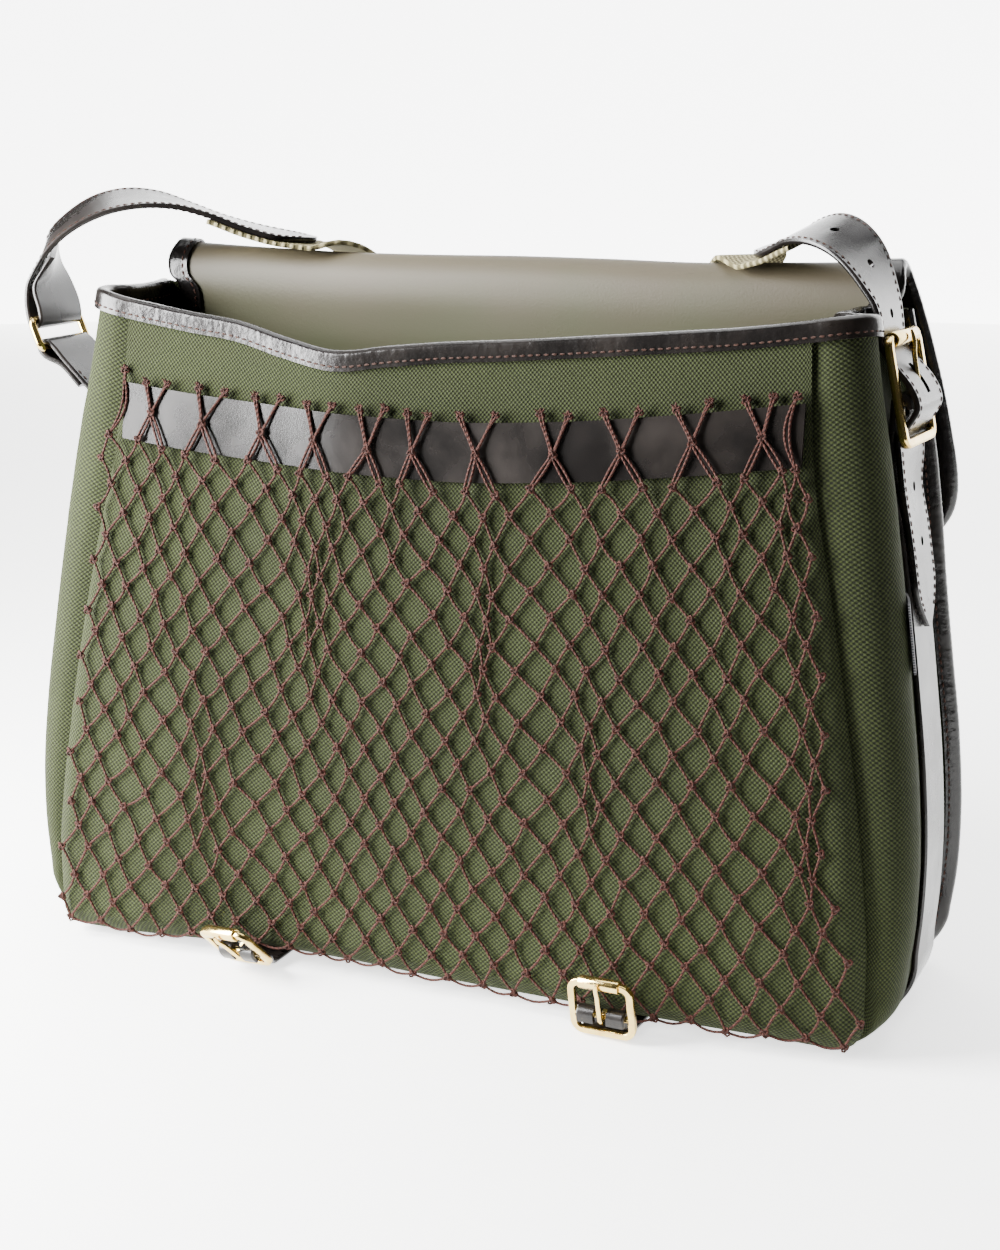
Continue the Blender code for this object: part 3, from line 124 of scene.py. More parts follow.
STRAP_LEFT_ROUTE = (
    (-113, 48, 345.7, 18, 1), (-130.1, 42, 348.0, 19, 1), (-146.2, 36.6, 352.0, 19, -1),
    (-161.5, 31.4, 357.2, 21, -3), (-176.8, 25.9, 362.4, 21, 0), (-191.8, 20.1, 365.6, 21, 8),
    (-206.8, 14.2, 365.2, 23, 14), (-221, 9.2, 360.9, 27, 16), (-233.2, 5, 353.3, 31, 13),
    (-242.6, 1.6, 343.5, 32, 9), (-246.4, 1.5, 332.3, 20, 4), (-246.4, 2, 323, 4, 0), (-246, 2, 313, 0, 0),
)
WEBBING_ROUTE = (
    (-104.5, 54, 343.4, 28, -9), (-97, 62.5, 337.5, 38, -17), (-91, 71.5, 326.5, 46, -19),
    (-86, 80, 311, 52, -12), (-81, 88, 293, 44, -6), (-77, 93, 273, 26, 0), (-74, 97, 248, 10, 0),
    (-71, 98, 215, 0, 0), (-66, 98, 180, 0, 0), (-56, 98, 120, 0, 0), (-38, 98, 66, 0, 0), (-12, 98, 38, 0, 0),
    (18, 98, 38, 0, 0), (44, 98, 66, 0, 0), (62, 98, 120, 0, 0), (72, 98, 180, 0, 0), (77, 98, 215, 0, 0),
    (80, 97, 248, -10, 0), (84, 93, 273, -28, 0), (89, 87, 296, -46, -6), (96, 78, 314, -52, -12),
    (103, 69.5, 328.5, -46, -17), (109.5, 60.5, 338.8, -38, -15), (115, 52.5, 343.2, -30, -4),
)
STRAP_RIGHT_ROUTE = (
    (120, 46.5, 346.4, -24, 12), (131.4, 39.4, 349.9, -25, 15), (141.4, 32, 354.8, -29, 19),
    (150.9, 24.8, 358.4, -31, 18), (160.9, 18.6, 358.2, -31, 14), (170.5, 14, 354.3, -27, 8),
    (178.9, 11.1, 346.9, -20, 3), (185.5, 9.6, 336.4, -11, 0), (191, 8.5, 325, -3, 1),
)

RIDGE_ROWS = (
    (-188, 0.0), (-170, 0.5), (-150, 1.5), (-130, 2.3), (-100, 3.1), (-60, 3.2), (-20, 2.7), (25, 2.3),
    (55, 2.7), (85, 3.1), (115, 2.6), (145, 1.4), (188, 0.0),
)
BAND_ROWS = (
    (-175, 282.4), (-128, 277.8), (-84, 275.2), (-38, 273.0), (2, 272.4), (52, 274.9), (114, 281.5), (175, 290.0),
)
BAND_HEIGHT = 27.0

SIDEWAYS = np.array([1.0, 0.0, 0.0])
DEPTHWAYS = np.array([0.0, 1.0, 0.0])


# Curves and grids


def hermite(t: float) -> tuple[float, float, float, float]:
    """Weights of the first point, the slope there, the second point and its slope, at a share of a stretch."""
    return 2 * t**3 - 3 * t**2 + 1, t**3 - 2 * t**2 + t, 3 * t**2 - 2 * t**3, t**3 - t**2


def through(keys: Sequence[float], values: Sequence[float]) -> Curve:
    """Smooth curve through pairs of key and value, with no overshoot between them.

    Args:
        keys: rising places.
        values: the curve's value at each place.

    Returns:
        A function from a place to the value there.
    """
    places = np.array(keys, dtype=float)
    heights = np.array(values, dtype=float)
    slopes = np.diff(heights) / np.diff(places)
    tangents = np.zeros(len(heights))
    tangents[0], tangents[-1] = slopes[0], slopes[-1]
    for index in range(1, len(heights) - 1):
        before, after = slopes[index - 1], slopes[index]
        if before * after > 0:
            tangents[index] = 2 * before * after / (before + after)

    def at(key: float) -> float:
        """Value of the curve at a place."""
        key = min(max(key, places[0]), places[-1])
        cell = min(int(np.searchsorted(places, key, side="right")) - 1, len(places) - 2)
        span = places[cell + 1] - places[cell]
        starts, leaves, ends, arrives = hermite((key - places[cell]) / span)
        return float(starts * heights[cell] + leaves * tangents[cell] * span
                     + ends * heights[cell + 1] + arrives * tangents[cell + 1] * span)

    return at


def table_curves(columns: Sequence[str], rows: Sequence[Sequence[float]]) -> dict[str, Curve]:
    """A smooth curve for each column of a table, over the table's first column."""
    keys = [row[0] for row in rows]
    return {name: through(keys, [row[place] for row in rows]) for place, name in enumerate(columns) if place}


BODY = table_curves(BODY_COLUMNS, BODY_ROWS)
FRONT = table_curves(FRONT_COLUMNS, FRONT_ROWS)
RIDGE = table_curves(("x", "drop"), RIDGE_ROWS)
BAND = table_curves(("x", "top"), BAND_ROWS)


def unit(vector: np.ndarray) -> np.ndarray:
    """The vector, or each row of vectors, at length one."""
    return vector / np.linalg.norm(vector, axis=-1, keepdims=True)


def tangents_of(path: Sequence[Sequence[float]]) -> np.ndarray:
    """Unit direction of a path at each of its points, halfway between the stretches beside it."""
    steps = unit(np.diff(np.asarray(path, dtype=float), axis=0))
    return unit(np.vstack([steps[:1], steps[1:] + steps[:-1], steps[-1:]]))


def travelled_by(path: np.ndarray) -> np.ndarray:
    """Distance along a path at each of its points."""
    return np.concatenate([[0], np.cumsum(np.linalg.norm(np.diff(path, axis=0), axis=1))])


def read_at(mark: float, marks: np.ndarray, rows: np.ndarray) -> np.ndarray:
    """Place between rows of three numbers, at a distance along them."""
    return np.array([np.interp(mark, marks, rows[:, axis]) for axis in range(3)])


def refine(points: np.ndarray, step: float, axis: int = 0, lengths: np.ndarray | None = None) -> np.ndarray:
    """Fill the stretches between control points with a smooth curve through them.

    Args:
        points: control points, or rows of them, with the coordinates on the last axis.
        step: greatest distance between the new points.
        axis: the axis of the array to fill.
        lengths: lengths of the stretches, where the last axis holds other things than places.

    Returns:
        The filled array.
    """
    grid = np.moveaxis(np.asarray(points, dtype=float), axis, 0)
    if lengths is None:
        lengths = np.linalg.norm(np.diff(grid, axis=0), axis=-1)
        lengths = lengths.reshape(len(lengths), -1).mean(axis=1)
    lengths = np.maximum(lengths, 1e-6)
    slopes = np.diff(grid, axis=0) / lengths.reshape(-1, *[1] * (grid.ndim - 1))
    before, after = lengths[:-1], lengths[1:]
    weight = (before / (before + after)).reshape(-1, *[1] * (grid.ndim - 1))
    inner = slopes[:-1] * (1 - weight) + slopes[1:] * weight
    tangents = np.concatenate([slopes[:1], inner, slopes[-1:]])
    filled = []
    for place, length in enumerate(lengths):
        count = max(1, math.ceil(length / step))
        for number in range(count):
            starts, leaves, ends, arrives = hermite(number / count)
            filled.append(starts * grid[place] + leaves * length * tangents[place]
                          + ends * grid[place + 1] + arrives * length * tangents[place + 1])
    filled.append(grid[-1])
    return np.moveaxis(np.array(filled), 0, axis)


def ease(share: float) -> float:
    """Share from 0 to 1 with soft ends."""
    share = min(max(share, 0.0), 1.0)
    return share * share * (3 - 2 * share)


def wander(x: float, y: float, size: float, seed: float = 0.0) -> float:
    """Smooth noise from -1 to 1 over places in millimetres, with features of a size."""
    return noise.noise(Vector((x / size, y / size, seed)))


# Colours, nodes and finishes


def linear(code: str) -> tuple[float, float, float, float]:
    """Linear RGBA of an sRGB hex colour."""
    parts = [int(code[place:place + 2], 16) / 255 for place in (1, 3, 5)]
    red, green, blue = (part / 12.92 if part <= 0.04045 else ((part + 0.055) / 1.055) ** 2.4 for part in parts)
    return red, green, blue, 1.0


def add_node(tree: bpy.types.NodeTree, kind: str, inputs: dict | None = None, **settings) -> bpy.types.Node:
    """Add a node, set it and link it.

    Args:
        tree: the material's nodes.
        kind: Blender's name for the node.
        inputs: a socket to link from, or a value, for each input by name or number.
        **settings: the node's own settings.

    Returns:
        The new node.
    """
    made = tree.nodes.new(kind)
    for name, value in settings.items():
        setattr(made, name, value)
    for key, value in (inputs or {}).items():
        if isinstance(value, bpy.types.NodeSocket):
            tree.links.new(value, made.inputs[key])
        else:
            made.inputs[key].default_value = value
    return made


class Grain(Enum):
    """Where a pattern is read from."""

    OBJECT = "Object"
    CLOTH = "cloth"


@dataclass(frozen=True)
class Finish:
    """A finish: its slot, roughness and how its nodes are laid."""

    name: str
    slot: str
    roughness: float = 0.5

    def material(self) -> bpy.types.Material:
        """The finish's material, made once."""
        found = bpy.data.materials.get(self.name)
        if found:
            return found
        made = bpy.data.materials.new(self.name)
        made.use_nodes = True
        shader = made.node_tree.nodes["Principled BSDF"]
        shader.inputs["Roughness"].default_value = self.roughness
        self.lay(made.node_tree, shader)
        return made

    def lay(self, tree: bpy.types.NodeTree, shader: bpy.types.Node) -> None:
        """Lay the finish's nodes on its shader."""
        raise NotImplementedError

    def places(self, tree: bpy.types.NodeTree, grain: Grain) -> bpy.types.NodeSocket:
        """Socket of the coordinates that a pattern reads, in metres."""
        if grain is Grain.OBJECT:
            return add_node(tree, "ShaderNodeTexCoord").outputs["Object"]
        return add_node(tree, "ShaderNodeUVMap", uv_map=grain.value).outputs["UV"]

    def mottle(self, tree: bpy.types.NodeTree, places: bpy.types.NodeSocket, size: float,
               detail: float = 3.0) -> bpy.types.NodeSocket:
        """Noise from about 0 to 1 with features of a size in metres."""
        return add_node(tree, "ShaderNodeTexNoise", {"Vector": places, "Scale": 1 / size, "Detail": detail,
                                                     "Roughness": 0.55}).outputs["Fac"]

    def mix(self, tree: bpy.types.NodeTree, share: bpy.types.NodeSocket | float, first, second,
            blend: str = "MIX") -> bpy.types.NodeSocket:
        """Mix two colours, each a socket or a linear colour."""
        made = add_node(tree, "ShaderNodeMix", {0: share, 6: first, 7: second}, data_type="RGBA", blend_type=blend)
        return made.outputs[2]

    def band(self, tree: bpy.types.NodeTree, value: bpy.types.NodeSocket, low: float, high: float,
             out_low: float = 0.0, out_high: float = 1.0) -> bpy.types.NodeSocket:
        """Map a value's range to another."""
        made = add_node(tree, "ShaderNodeMapRange", {"Value": value, "From Min": low, "From Max": high,
                                                     "To Min": out_low, "To Max": out_high})
        return made.outputs["Result"]

    def glows(self, shader: bpy.types.Node, strength: float) -> None:
        """Let the shader give white light of a strength."""
        shader.inputs["Emission Color"].default_value = linear("#ffffff")
        shader.inputs["Emission Strength"].default_value = strength

    def raise_surface(self, tree: bpy.types.NodeTree, shader: bpy.types.Node, height: bpy.types.NodeSocket,
                      depth: float) -> None:
        """Bump the shader by a height, with its depth in metres."""
        bump = add_node(tree, "ShaderNodeBump", {"Height": height, "Distance": depth, "Strength": 1.0})
        tree.links.new(bump.outputs["Normal"], shader.inputs["Normal"])

    def waves(self, tree: bpy.types.NodeTree, places: bpy.types.NodeSocket,
              periods: Sequence[float]) -> list[bpy.types.NodeSocket]:
        """A sine along each of the first axes, with its period in metres."""
        split = add_node(tree, "ShaderNodeSeparateXYZ", {0: places})
        sines = []
        for axis, period in enumerate(periods):
            turn = add_node(tree, "ShaderNodeMath", {0: split.outputs[axis], 1: 2 * math.pi / period},
                            operation="MULTIPLY")
            sines.append(add_node(tree, "ShaderNodeMath", {0: turn.outputs[0]}, operation="SINE").outputs[0])
        return sines


@dataclass(frozen=True)
class WovenCotton(Finish):
    """Plain-woven cotton: proofed canvas, webbing or a woven tab, dull and dotted with thread crowns."""

    crown: str = "#2c3217"
    gap: str = "#101308"
    period: tuple[float, float] = (0.0022, 0.0022)
    fade: str = "#343b1e"
    relief: float = 0.0003

    def lay(self, tree: bpy.types.NodeTree, shader: bpy.types.Node) -> None:
        """Thread crowns over darker gaps, a slow fading over the cloth and a fuzz of fine noise."""
        cloth = self.places(tree, Grain.CLOTH)
        around = self.places(tree, Grain.OBJECT)
        drift = self.mottle(tree, cloth, 0.012, 2.0)
        nudge = add_node(tree, "ShaderNodeVectorMath", {0: (0.0006, 0.0006, 0.0), 1: drift, 2: cloth},
                         operation="MULTIPLY_ADD")
        across, along = self.waves(tree, nudge.outputs[0], self.period)
        weave = add_node(tree, "ShaderNodeMath", {0: across, 1: along}, operation="MULTIPLY").outputs[0]
        fuzz = self.mottle(tree, around, 0.0009, 2.0)
        crown = self.band(tree, weave, -0.55, 0.75)
        thread = self.mix(tree, self.band(tree, fuzz, 0.3, 0.7), linear(self.crown), linear(self.fade))
        cloth_colour = self.mix(tree, crown, linear(self.gap), thread)
        slow = self.band(tree, self.mottle(tree, around, 0.09, 4.0), 0.3, 0.7, 0.82, 1.12)
        shade = add_node(tree, "ShaderNodeCombineColor", {0: slow, 1: slow, 2: slow})
        colour = self.mix(tree, 1.0, cloth_colour, shade.outputs[0], "MULTIPLY")
        tree.links.new(colour, shader.inputs["Base Color"])
        height = add_node(tree, "ShaderNodeMath", {0: fuzz, 1: 0.35, 2: crown}, operation="MULTIPLY_ADD")
        self.raise_surface(tree, shader, height.outputs[0], self.relief)
        shader.inputs["Specular IOR Level"].default_value = 0.15


@dataclass(frozen=True)
class BridleLeather(Finish):
    """Vegetable-tanned leather, dyed black and waxed: dark, smooth and glossy with a fine pored grain."""

    colour: str = "#0d0b0a"
    worn: str = "#1a1512"
    pore: float = 0.0009
    relief: float = 0.00004
    creases: float = 0.0

    def lay(self, tree: bpy.types.NodeTree, shader: bpy.types.Node) -> None:
        """A faint brown wear, pores drawn about twice their real size and gloss that varies a little."""
        around = self.places(tree, Grain.OBJECT)
        slow = self.mottle(tree, around, 0.035, 4.0)
        tree.links.new(self.mix(tree, self.band(tree, slow, 0.45, 0.75), linear(self.colour), linear(self.worn)),
                       shader.inputs["Base Color"])
        fine = self.mottle(tree, around, self.pore, 3.0)
        tree.links.new(self.band(tree, slow, 0.3, 0.7, self.roughness - 0.06, self.roughness + 0.08),
                       shader.inputs["Roughness"])
        height = fine
        if self.creases:
            wrinkle = self.mottle(tree, around, self.creases, 2.0)
            height = add_node(tree, "ShaderNodeMath", {0: wrinkle, 1: 6.0, 2: fine},
                              operation="MULTIPLY_ADD").outputs[0]
        self.raise_surface(tree, shader, height, self.relief)
        shader.inputs["Specular IOR Level"].default_value = 0.33


@dataclass(frozen=True)
class CoatedLining(Finish):
    """Cotton drill with a rubbery proofing coat: smooth, half matt, olive with brown cloudy patches."""

    low: str = "#373a21"
    high: str = "#3f3827"
    level: tuple[float, float] = (0.29, 0.345)

    def lay(self, tree: bpy.types.NodeTree, shader: bpy.types.Node) -> None:
        """Olive below turning brown near the ridge, clouded, with a faint grain."""
        around = self.places(tree, Grain.OBJECT)
        split = add_node(tree, "ShaderNodeSeparateXYZ", {0: around})
        cloud = self.mottle(tree, around, 0.05, 4.0)
        rise = self.band(tree, split.outputs[2], *self.level)
        share = add_node(tree, "ShaderNodeMath", {0: cloud, 1: 1.1, 2: rise}, operation="MULTIPLY_ADD").outputs[0]
        colour = self.mix(tree, self.band(tree, share, 0.45, 1.4), linear(self.low), linear(self.high))
        tree.links.new(colour, shader.inputs["Base Color"])
        self.raise_surface(tree, shader, self.mottle(tree, around, 0.0012, 3.0), 0.00008)


@dataclass(frozen=True)
class PolishedBrass(Finish):
    """Cast brass, polished: yellow gold mirror with soft handling marks."""

    colour: str = "#dcc27a"
    dull: str = "#b2934c"

    def lay(self, tree: bpy.types.NodeTree, shader: bpy.types.Node) -> None:
        """Warm metal, dulled in patches, with marks drawn coarser than the real ones."""
        around = self.places(tree, Grain.OBJECT)
        cloud = self.mottle(tree, around, 0.012, 3.0)
        colour = self.mix(tree, self.band(tree, cloud, 0.45, 0.8), linear(self.colour), linear(self.dull))
        tree.links.new(colour, shader.inputs["Base Color"])
        marks = self.mottle(tree, around, 0.0016, 2.0)
        tree.links.new(self.band(tree, marks, 0.3, 0.8, self.roughness - 0.05, self.roughness + 0.12),
                       shader.inputs["Roughness"])
        self.raise_surface(tree, shader, self.mottle(tree, around, 0.006, 1.0), 0.00012)
        shader.inputs["Metallic"].default_value = 1.0


@dataclass(frozen=True)
class LaidTwine(Finish):
    """Twisted twine or sewing thread: dull and fibrous, with the lay of its plies winding round it."""

    colour: str = "#36170f"
    shade: str = "#140705"
    lay_length: float = 0.0024

    def lay(self, tree: bpy.types.NodeTree, shader: bpy.types.Node) -> None:
        """Two plies wind round, with painted shade in their grooves and a painted highlight scattered over the
        fibres; their length is drawn a little coarser than the real lay.
        """
        cloth = self.places(tree, Grain.CLOTH)
        split = add_node(tree, "ShaderNodeSeparateXYZ", {0: cloth})
        turn = add_node(tree, "ShaderNodeMath", {0: split.outputs[1], 1: 2 * math.pi / self.lay_length},
                        operation="MULTIPLY")
        wind = add_node(tree, "ShaderNodeMath", {0: split.outputs[0], 1: 4 * math.pi, 2: turn.outputs[0]},
                        operation="MULTIPLY_ADD")
        ply = add_node(tree, "ShaderNodeMath", {0: wind.outputs[0]}, operation="SINE").outputs[0]
        fuzz = self.mottle(tree, self.places(tree, Grain.OBJECT), 0.0007, 2.0)
        crown = self.band(tree, ply, -1.0, 0.6)
        colour = self.mix(tree, crown, linear(self.shade), linear(self.colour))
        # The shade colour darkens the grooves between the plies as painted shade; the lighter brown #4c281d,
        # scattered over the fibres by fine noise, is a painted highlight.
        tree.links.new(self.mix(tree, self.band(tree, fuzz, 0.35, 0.9, 0.0, 0.5), colour, linear("#4c281d")),
                       shader.inputs["Base Color"])
        self.raise_surface(tree, shader, crown, 0.0002)
        shader.inputs["Specular IOR Level"].default_value = 0.2


@dataclass(frozen=True)
class PaperSweep(Finish):
    """Seamless studio paper on a light table: matt, near white and lit a little from below."""

    colour: str = "#f7f7f5"
    glow: float = 1.8

    def lay(self, tree: bpy.types.NodeTree, shader: bpy.types.Node) -> None:
        """One pale tone with the faintest tooth."""
        tooth = self.mottle(tree, self.places(tree, Grain.OBJECT), 0.02, 2.0)
        colour = self.mix(tree, self.band(tree, tooth, 0.2, 0.8), linear(self.colour), linear("#f2f2f0"))
        tree.links.new(colour, shader.inputs["Base Color"])
        self.glows(shader, self.glow)


@dataclass(frozen=True)
class LitScreen(Finish):
    """White diffusing cloth with lamps behind it: it glows evenly."""

    glow: float = 5.0

    def lay(self, tree: bpy.types.NodeTree, shader: bpy.types.Node) -> None:
        """Plain white light."""
        self.glows(shader, self.glow)


CANVAS = WovenCotton("proofed_canvas", "canvas", 0.88)
WEBBING = WovenCotton("cotton_webbing", "webbing", 0.9, crown="#8f8763", gap="#565038", fade="#a39b78",
                      period=(0.0022, 0.0044), relief=0.0005)
TAB = WovenCotton("woven_tab", "label", 0.75, crown="#77777a", gap="#3c3c3e", fade="#8d8d8f",
                  period=(0.0012, 0.0012), relief=0.0001)
LEATHER = BridleLeather("bridle_leather", "leather", 0.25)
BINDING_LEATHER = BridleLeather("binding_leather", "leather", 0.24, relief=0.00003, creases=0.003)
LINING = CoatedLining("coated_lining", "lining", 0.6)
BRASS = PolishedBrass("polished_brass", "brass", 0.17)
TWINE = LaidTwine("net_twine", "twine", 0.8)
THREAD = LaidTwine("waxed_thread", "twine", 0.6, colour="#3d2419", shade="#1c0f0a", lay_length=0.0012)
PAPER = PaperSweep("studio_paper", "", 0.9)
SCREEN = LitScreen("studio_screen", "", 0.9)


# Meshes


def deselect() -> None:
    """Leave object mode's selection empty."""
    if bpy.context.object and bpy.context.object.mode != "OBJECT":
        bpy.ops.object.mode_set(mode="OBJECT")
    bpy.ops.object.select_all(action="DESELECT")


def take(piece: bpy.types.Object) -> None:
    """Select one object and make it active."""
    deselect()
    piece.select_set(True)
    bpy.context.view_layer.objects.active = piece


def apply_all(piece: bpy.types.Object) -> None:
    """Apply a piece's modifiers in order."""
    take(piece)
    for modifier in list(piece.modifiers):
        bpy.ops.object.modifier_apply(modifier=modifier.name)


def settle(piece: bpy.types.Object) -> None:
    """Put a piece's place, turn and size in its mesh."""
    take(piece)
    bpy.ops.object.transform_apply(location=True, rotation=True, scale=True)


@contextmanager
def all_in_edit_mode() -> Iterator[None]:
    """Edit the active piece with the whole of its mesh selected, and leave edit mode after."""
    bpy.ops.object.mode_set(mode="EDIT")
    bpy.ops.mesh.select_all(action="SELECT")
    yield
    bpy.ops.object.mode_set(mode="OBJECT")


def pick_faces(piece: bpy.types.Object, wanted: Callable[[bmesh.types.BMFace], bool]) -> None:
    """In edit mode, select only the faces that are wanted."""
    bpy.ops.mesh.select_all(action="DESELECT")
    mesh = bmesh.from_edit_mesh(piece.data)
    for face in mesh.faces:
        face.select = wanted(face)
    bmesh.update_edit_mesh(piece.data)


def combine(piece: bpy.types.Object, other: bpy.types.Object, operation: str) -> None:
    """Cut another object out of a piece or join it to the piece, and remove the other."""
    modifier = piece.modifiers.new("combine", "BOOLEAN")
    modifier.operation = operation
    modifier.solver = "EXACT"
    modifier.object = other
    apply_all(piece)
    bpy.data.objects.remove(other, do_unlink=True)


def ease_edges(piece: bpy.types.Object, width: float, segments: int) -> None:
    """Round a piece's sharp edges over a width in millimetres."""
    bevel = piece.modifiers.new("eased", "BEVEL")
    bevel.width = width * MM
    bevel.segments = segments
    bevel.limit_method = "ANGLE"
    apply_all(piece)


def smooth(piece: bpy.types.Object, degrees: float = 40.0) -> None:
    """Shade a piece smooth, with edges sharper than an angle kept sharp."""
    take(piece)
    bpy.ops.object.shade_smooth_by_angle(angle=math.radians(degrees))


def link_mesh(name: str, vertices: np.ndarray, faces: list, uvs: np.ndarray | None,
              finish: Finish) -> bpy.types.Object:
    """Make an object of vertices in millimetres and faces.

    Args:
        name: the object's name.
        vertices: places in millimetres.
        faces: vertex numbers of each face.
        uvs: one pair in metres for each vertex, or None.
        finish: the piece's finish.

    Returns:
        The new object, dressed.
    """
    mesh = bpy.data.meshes.new(name)
    mesh.from_pydata((np.asarray(vertices) * MM).tolist(), [], faces)
    if uvs is not None:
        layer = mesh.uv_layers.new(name=Grain.CLOTH.value)
        loops = np.zeros(len(mesh.loops), dtype=np.int32)
        mesh.loops.foreach_get("vertex_index", loops)
        layer.data.foreach_set("uv", np.asarray(uvs, dtype=np.float32)[loops].ravel())
    mesh.materials.append(finish.material())
    piece = bpy.data.objects.new(name, mesh)
    bpy.context.scene.collection.objects.link(piece)
    return piece


def grid_faces(rows: int, columns: int, first: int = 0, closed: bool = False) -> list[tuple[int, int, int, int]]:
    """Faces of a grid of vertices, row after row; closed joins the last column to the first."""
    faces = []
    for row in range(rows - 1):
        for place in range(columns if closed else columns - 1):
            after = (place + 1) % columns
            low = first + row * columns
            faces.append((low + place, low + after, low + columns + after, low + columns + place))
    return faces


def grid_lengths(grid: np.ndarray) -> tuple[np.ndarray, np.ndarray]:
    """Mean distance down the rows and along the columns of a grid, in metres."""
    down = np.linalg.norm(np.diff(grid, axis=0), axis=-1).mean(axis=1)
    along = np.linalg.norm(np.diff(grid, axis=1), axis=-1).mean(axis=0)
    return np.concatenate([[0], np.cumsum(down)]) * MM, np.concatenate([[0], np.cumsum(along)]) * MM


def cloth(name: str, grid: np.ndarray, thickness: float, finish: Finish) -> bpy.types.Object:
    """Make a wall of cloth or leather behind a grid of points.

    Args:
        name: the piece's name.
        grid: rows of points in millimetres, so that the faces look outwards.
        thickness: the wall, in millimetres.
        finish: the piece's finish.

    Returns:
        The finished piece.
    """
    rows, columns = grid.shape[:2]
    down, along = grid_lengths(grid)
    uvs = np.stack(np.broadcast_arrays(along[None, :], down[:, None]), axis=-1).reshape(-1, 2)
    piece = link_mesh(name, grid.reshape(-1, 3), grid_faces(rows, columns), uvs, finish)
    wall = piece.modifiers.new("wall", "SOLIDIFY")
    wall.thickness = thickness * MM
    wall.offset = -1.0
    apply_all(piece)
    smooth(piece)
    return piece


def hand_over(piece: bpy.types.Object, finish: Finish, *nodes: str) -> bpy.types.Object:
    """Let a piece ride with the bag and stand for its nodes."""
    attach(piece, BODY_NAME)
    if nodes:
        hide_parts(*nodes)
    deselect()
    LOG.info("%s: %d faces", piece.name, len(piece.data.polygons))
    return piece


# Stitching


@dataclass
class Stitcher:
    """Lays stitches: one stitch is modelled, and each line of sewing copies it."""

    length: float = 2.6
    width: float = 0.95
    height: float = 0.6
    pitch: float = 3.8
    shape: tuple[np.ndarray, list] | None = None

    def model(self) -> tuple[np.ndarray, list]:
        """The stitch as vertices and faces: a small bead drawn long, its ends sunk in the leather."""
        if self.shape is None:
            deselect()
            bpy.ops.mesh.primitive_uv_sphere_add(segments=6, ring_count=4, radius=0.5,
                                                 rotation=(0, math.pi / 2, 0))
            bead = bpy.context.object
            settle(bead)
            with all_in_edit_mode():
                bpy.ops.transform.resize(value=(self.length, self.width, self.height))
            points = np.array([vert.co for vert in bead.data.vertices])
            self.shape = points, [tuple(face.vertices) for face in bead.data.polygons]
            bpy.data.objects.remove(bead, do_unlink=True)
        return self.shape

    def sew(self, name: str, lines: Iterable[tuple[np.ndarray, np.ndarray]]) -> bpy.types.Object:
        """Sew along lines and hand over one piece of all their stitches.

        Args:
            name: the piece's name.
            lines: for each line of sewing, its points and the surface's outward normals there.

        Returns:
            The finished piece.
        """
        points, faces = self.model()
        vertices, all_faces, uvs = [], [], []
        for path, normals in lines:
            marks = travelled_by(path)
            count = max(int(marks[-1] / self.pitch), 1)
            for number in range(count):
                place = (number + 0.5) * marks[-1] / count
                centre = read_at(place, marks, path)
                normal = unit(read_at(place, marks, normals))
                along = read_at(place + 0.5, marks, path) - read_at(place - 0.5, marks, path)
                along = unit(along - normal * np.dot(along, normal))
                turn = np.stack([along, np.cross(normal, along), normal])
                first = len(vertices) * len(points)
                vertices.append(points @ turn + centre)
                uvs.append(np.stack([points[:, 1] / self.width, points[:, 0] * MM], axis=1))
                all_faces += [tuple(first + corner for corner in face) for face in faces]
        piece = link_mesh(name, np.concatenate(vertices), all_faces, np.concatenate(uvs), THREAD)
        smooth(piece, 60)
        return hand_over(piece, THREAD)


STITCHER = Stitcher()


# Body


def panel_y(x: float, height: float) -> float:
    """Outer face of the front panel before its folds."""
    share = min(max(height / RIM_HEIGHT, 0.0), 1.0)
    lean = FRONT["rim_lean"](x) * share**3 + FRONT["base_lean"](x) * (1 - share) ** 2
    return BODY["panel_y"](height) + lean


def panel_fold(x: float, height: float) -> float:
    """Folds of the front panel, outwards where positive, in millimetres."""
    calm = ease((300 - height) / 30) * ease((height - 4) / 26) * ease((196 - abs(x)) / 26)
    slack = 0.9 * wander(x + 0.35 * height, height, 62.0, 1.3) + 0.45 * wander(x - height, height, 27.0, 7.7)
    drag = 0.7 * math.sin((x * 0.55 + height) / 21.0) * ease((120 - height) / 90) * ease((-x - 20) / 120)
    return calm * (slack + drag)


def panel_face(x: float, height: float) -> float:
    """Outer face of the front panel with its folds."""
    return panel_y(x, height) - panel_fold(x, height)


def base_lift(x: float) -> float:
    """How far the base's front edge is off the floor."""
    return max(FRONT["hem_z"](x) - 0.4, 1.6)


Profile = list[tuple[float, float]]


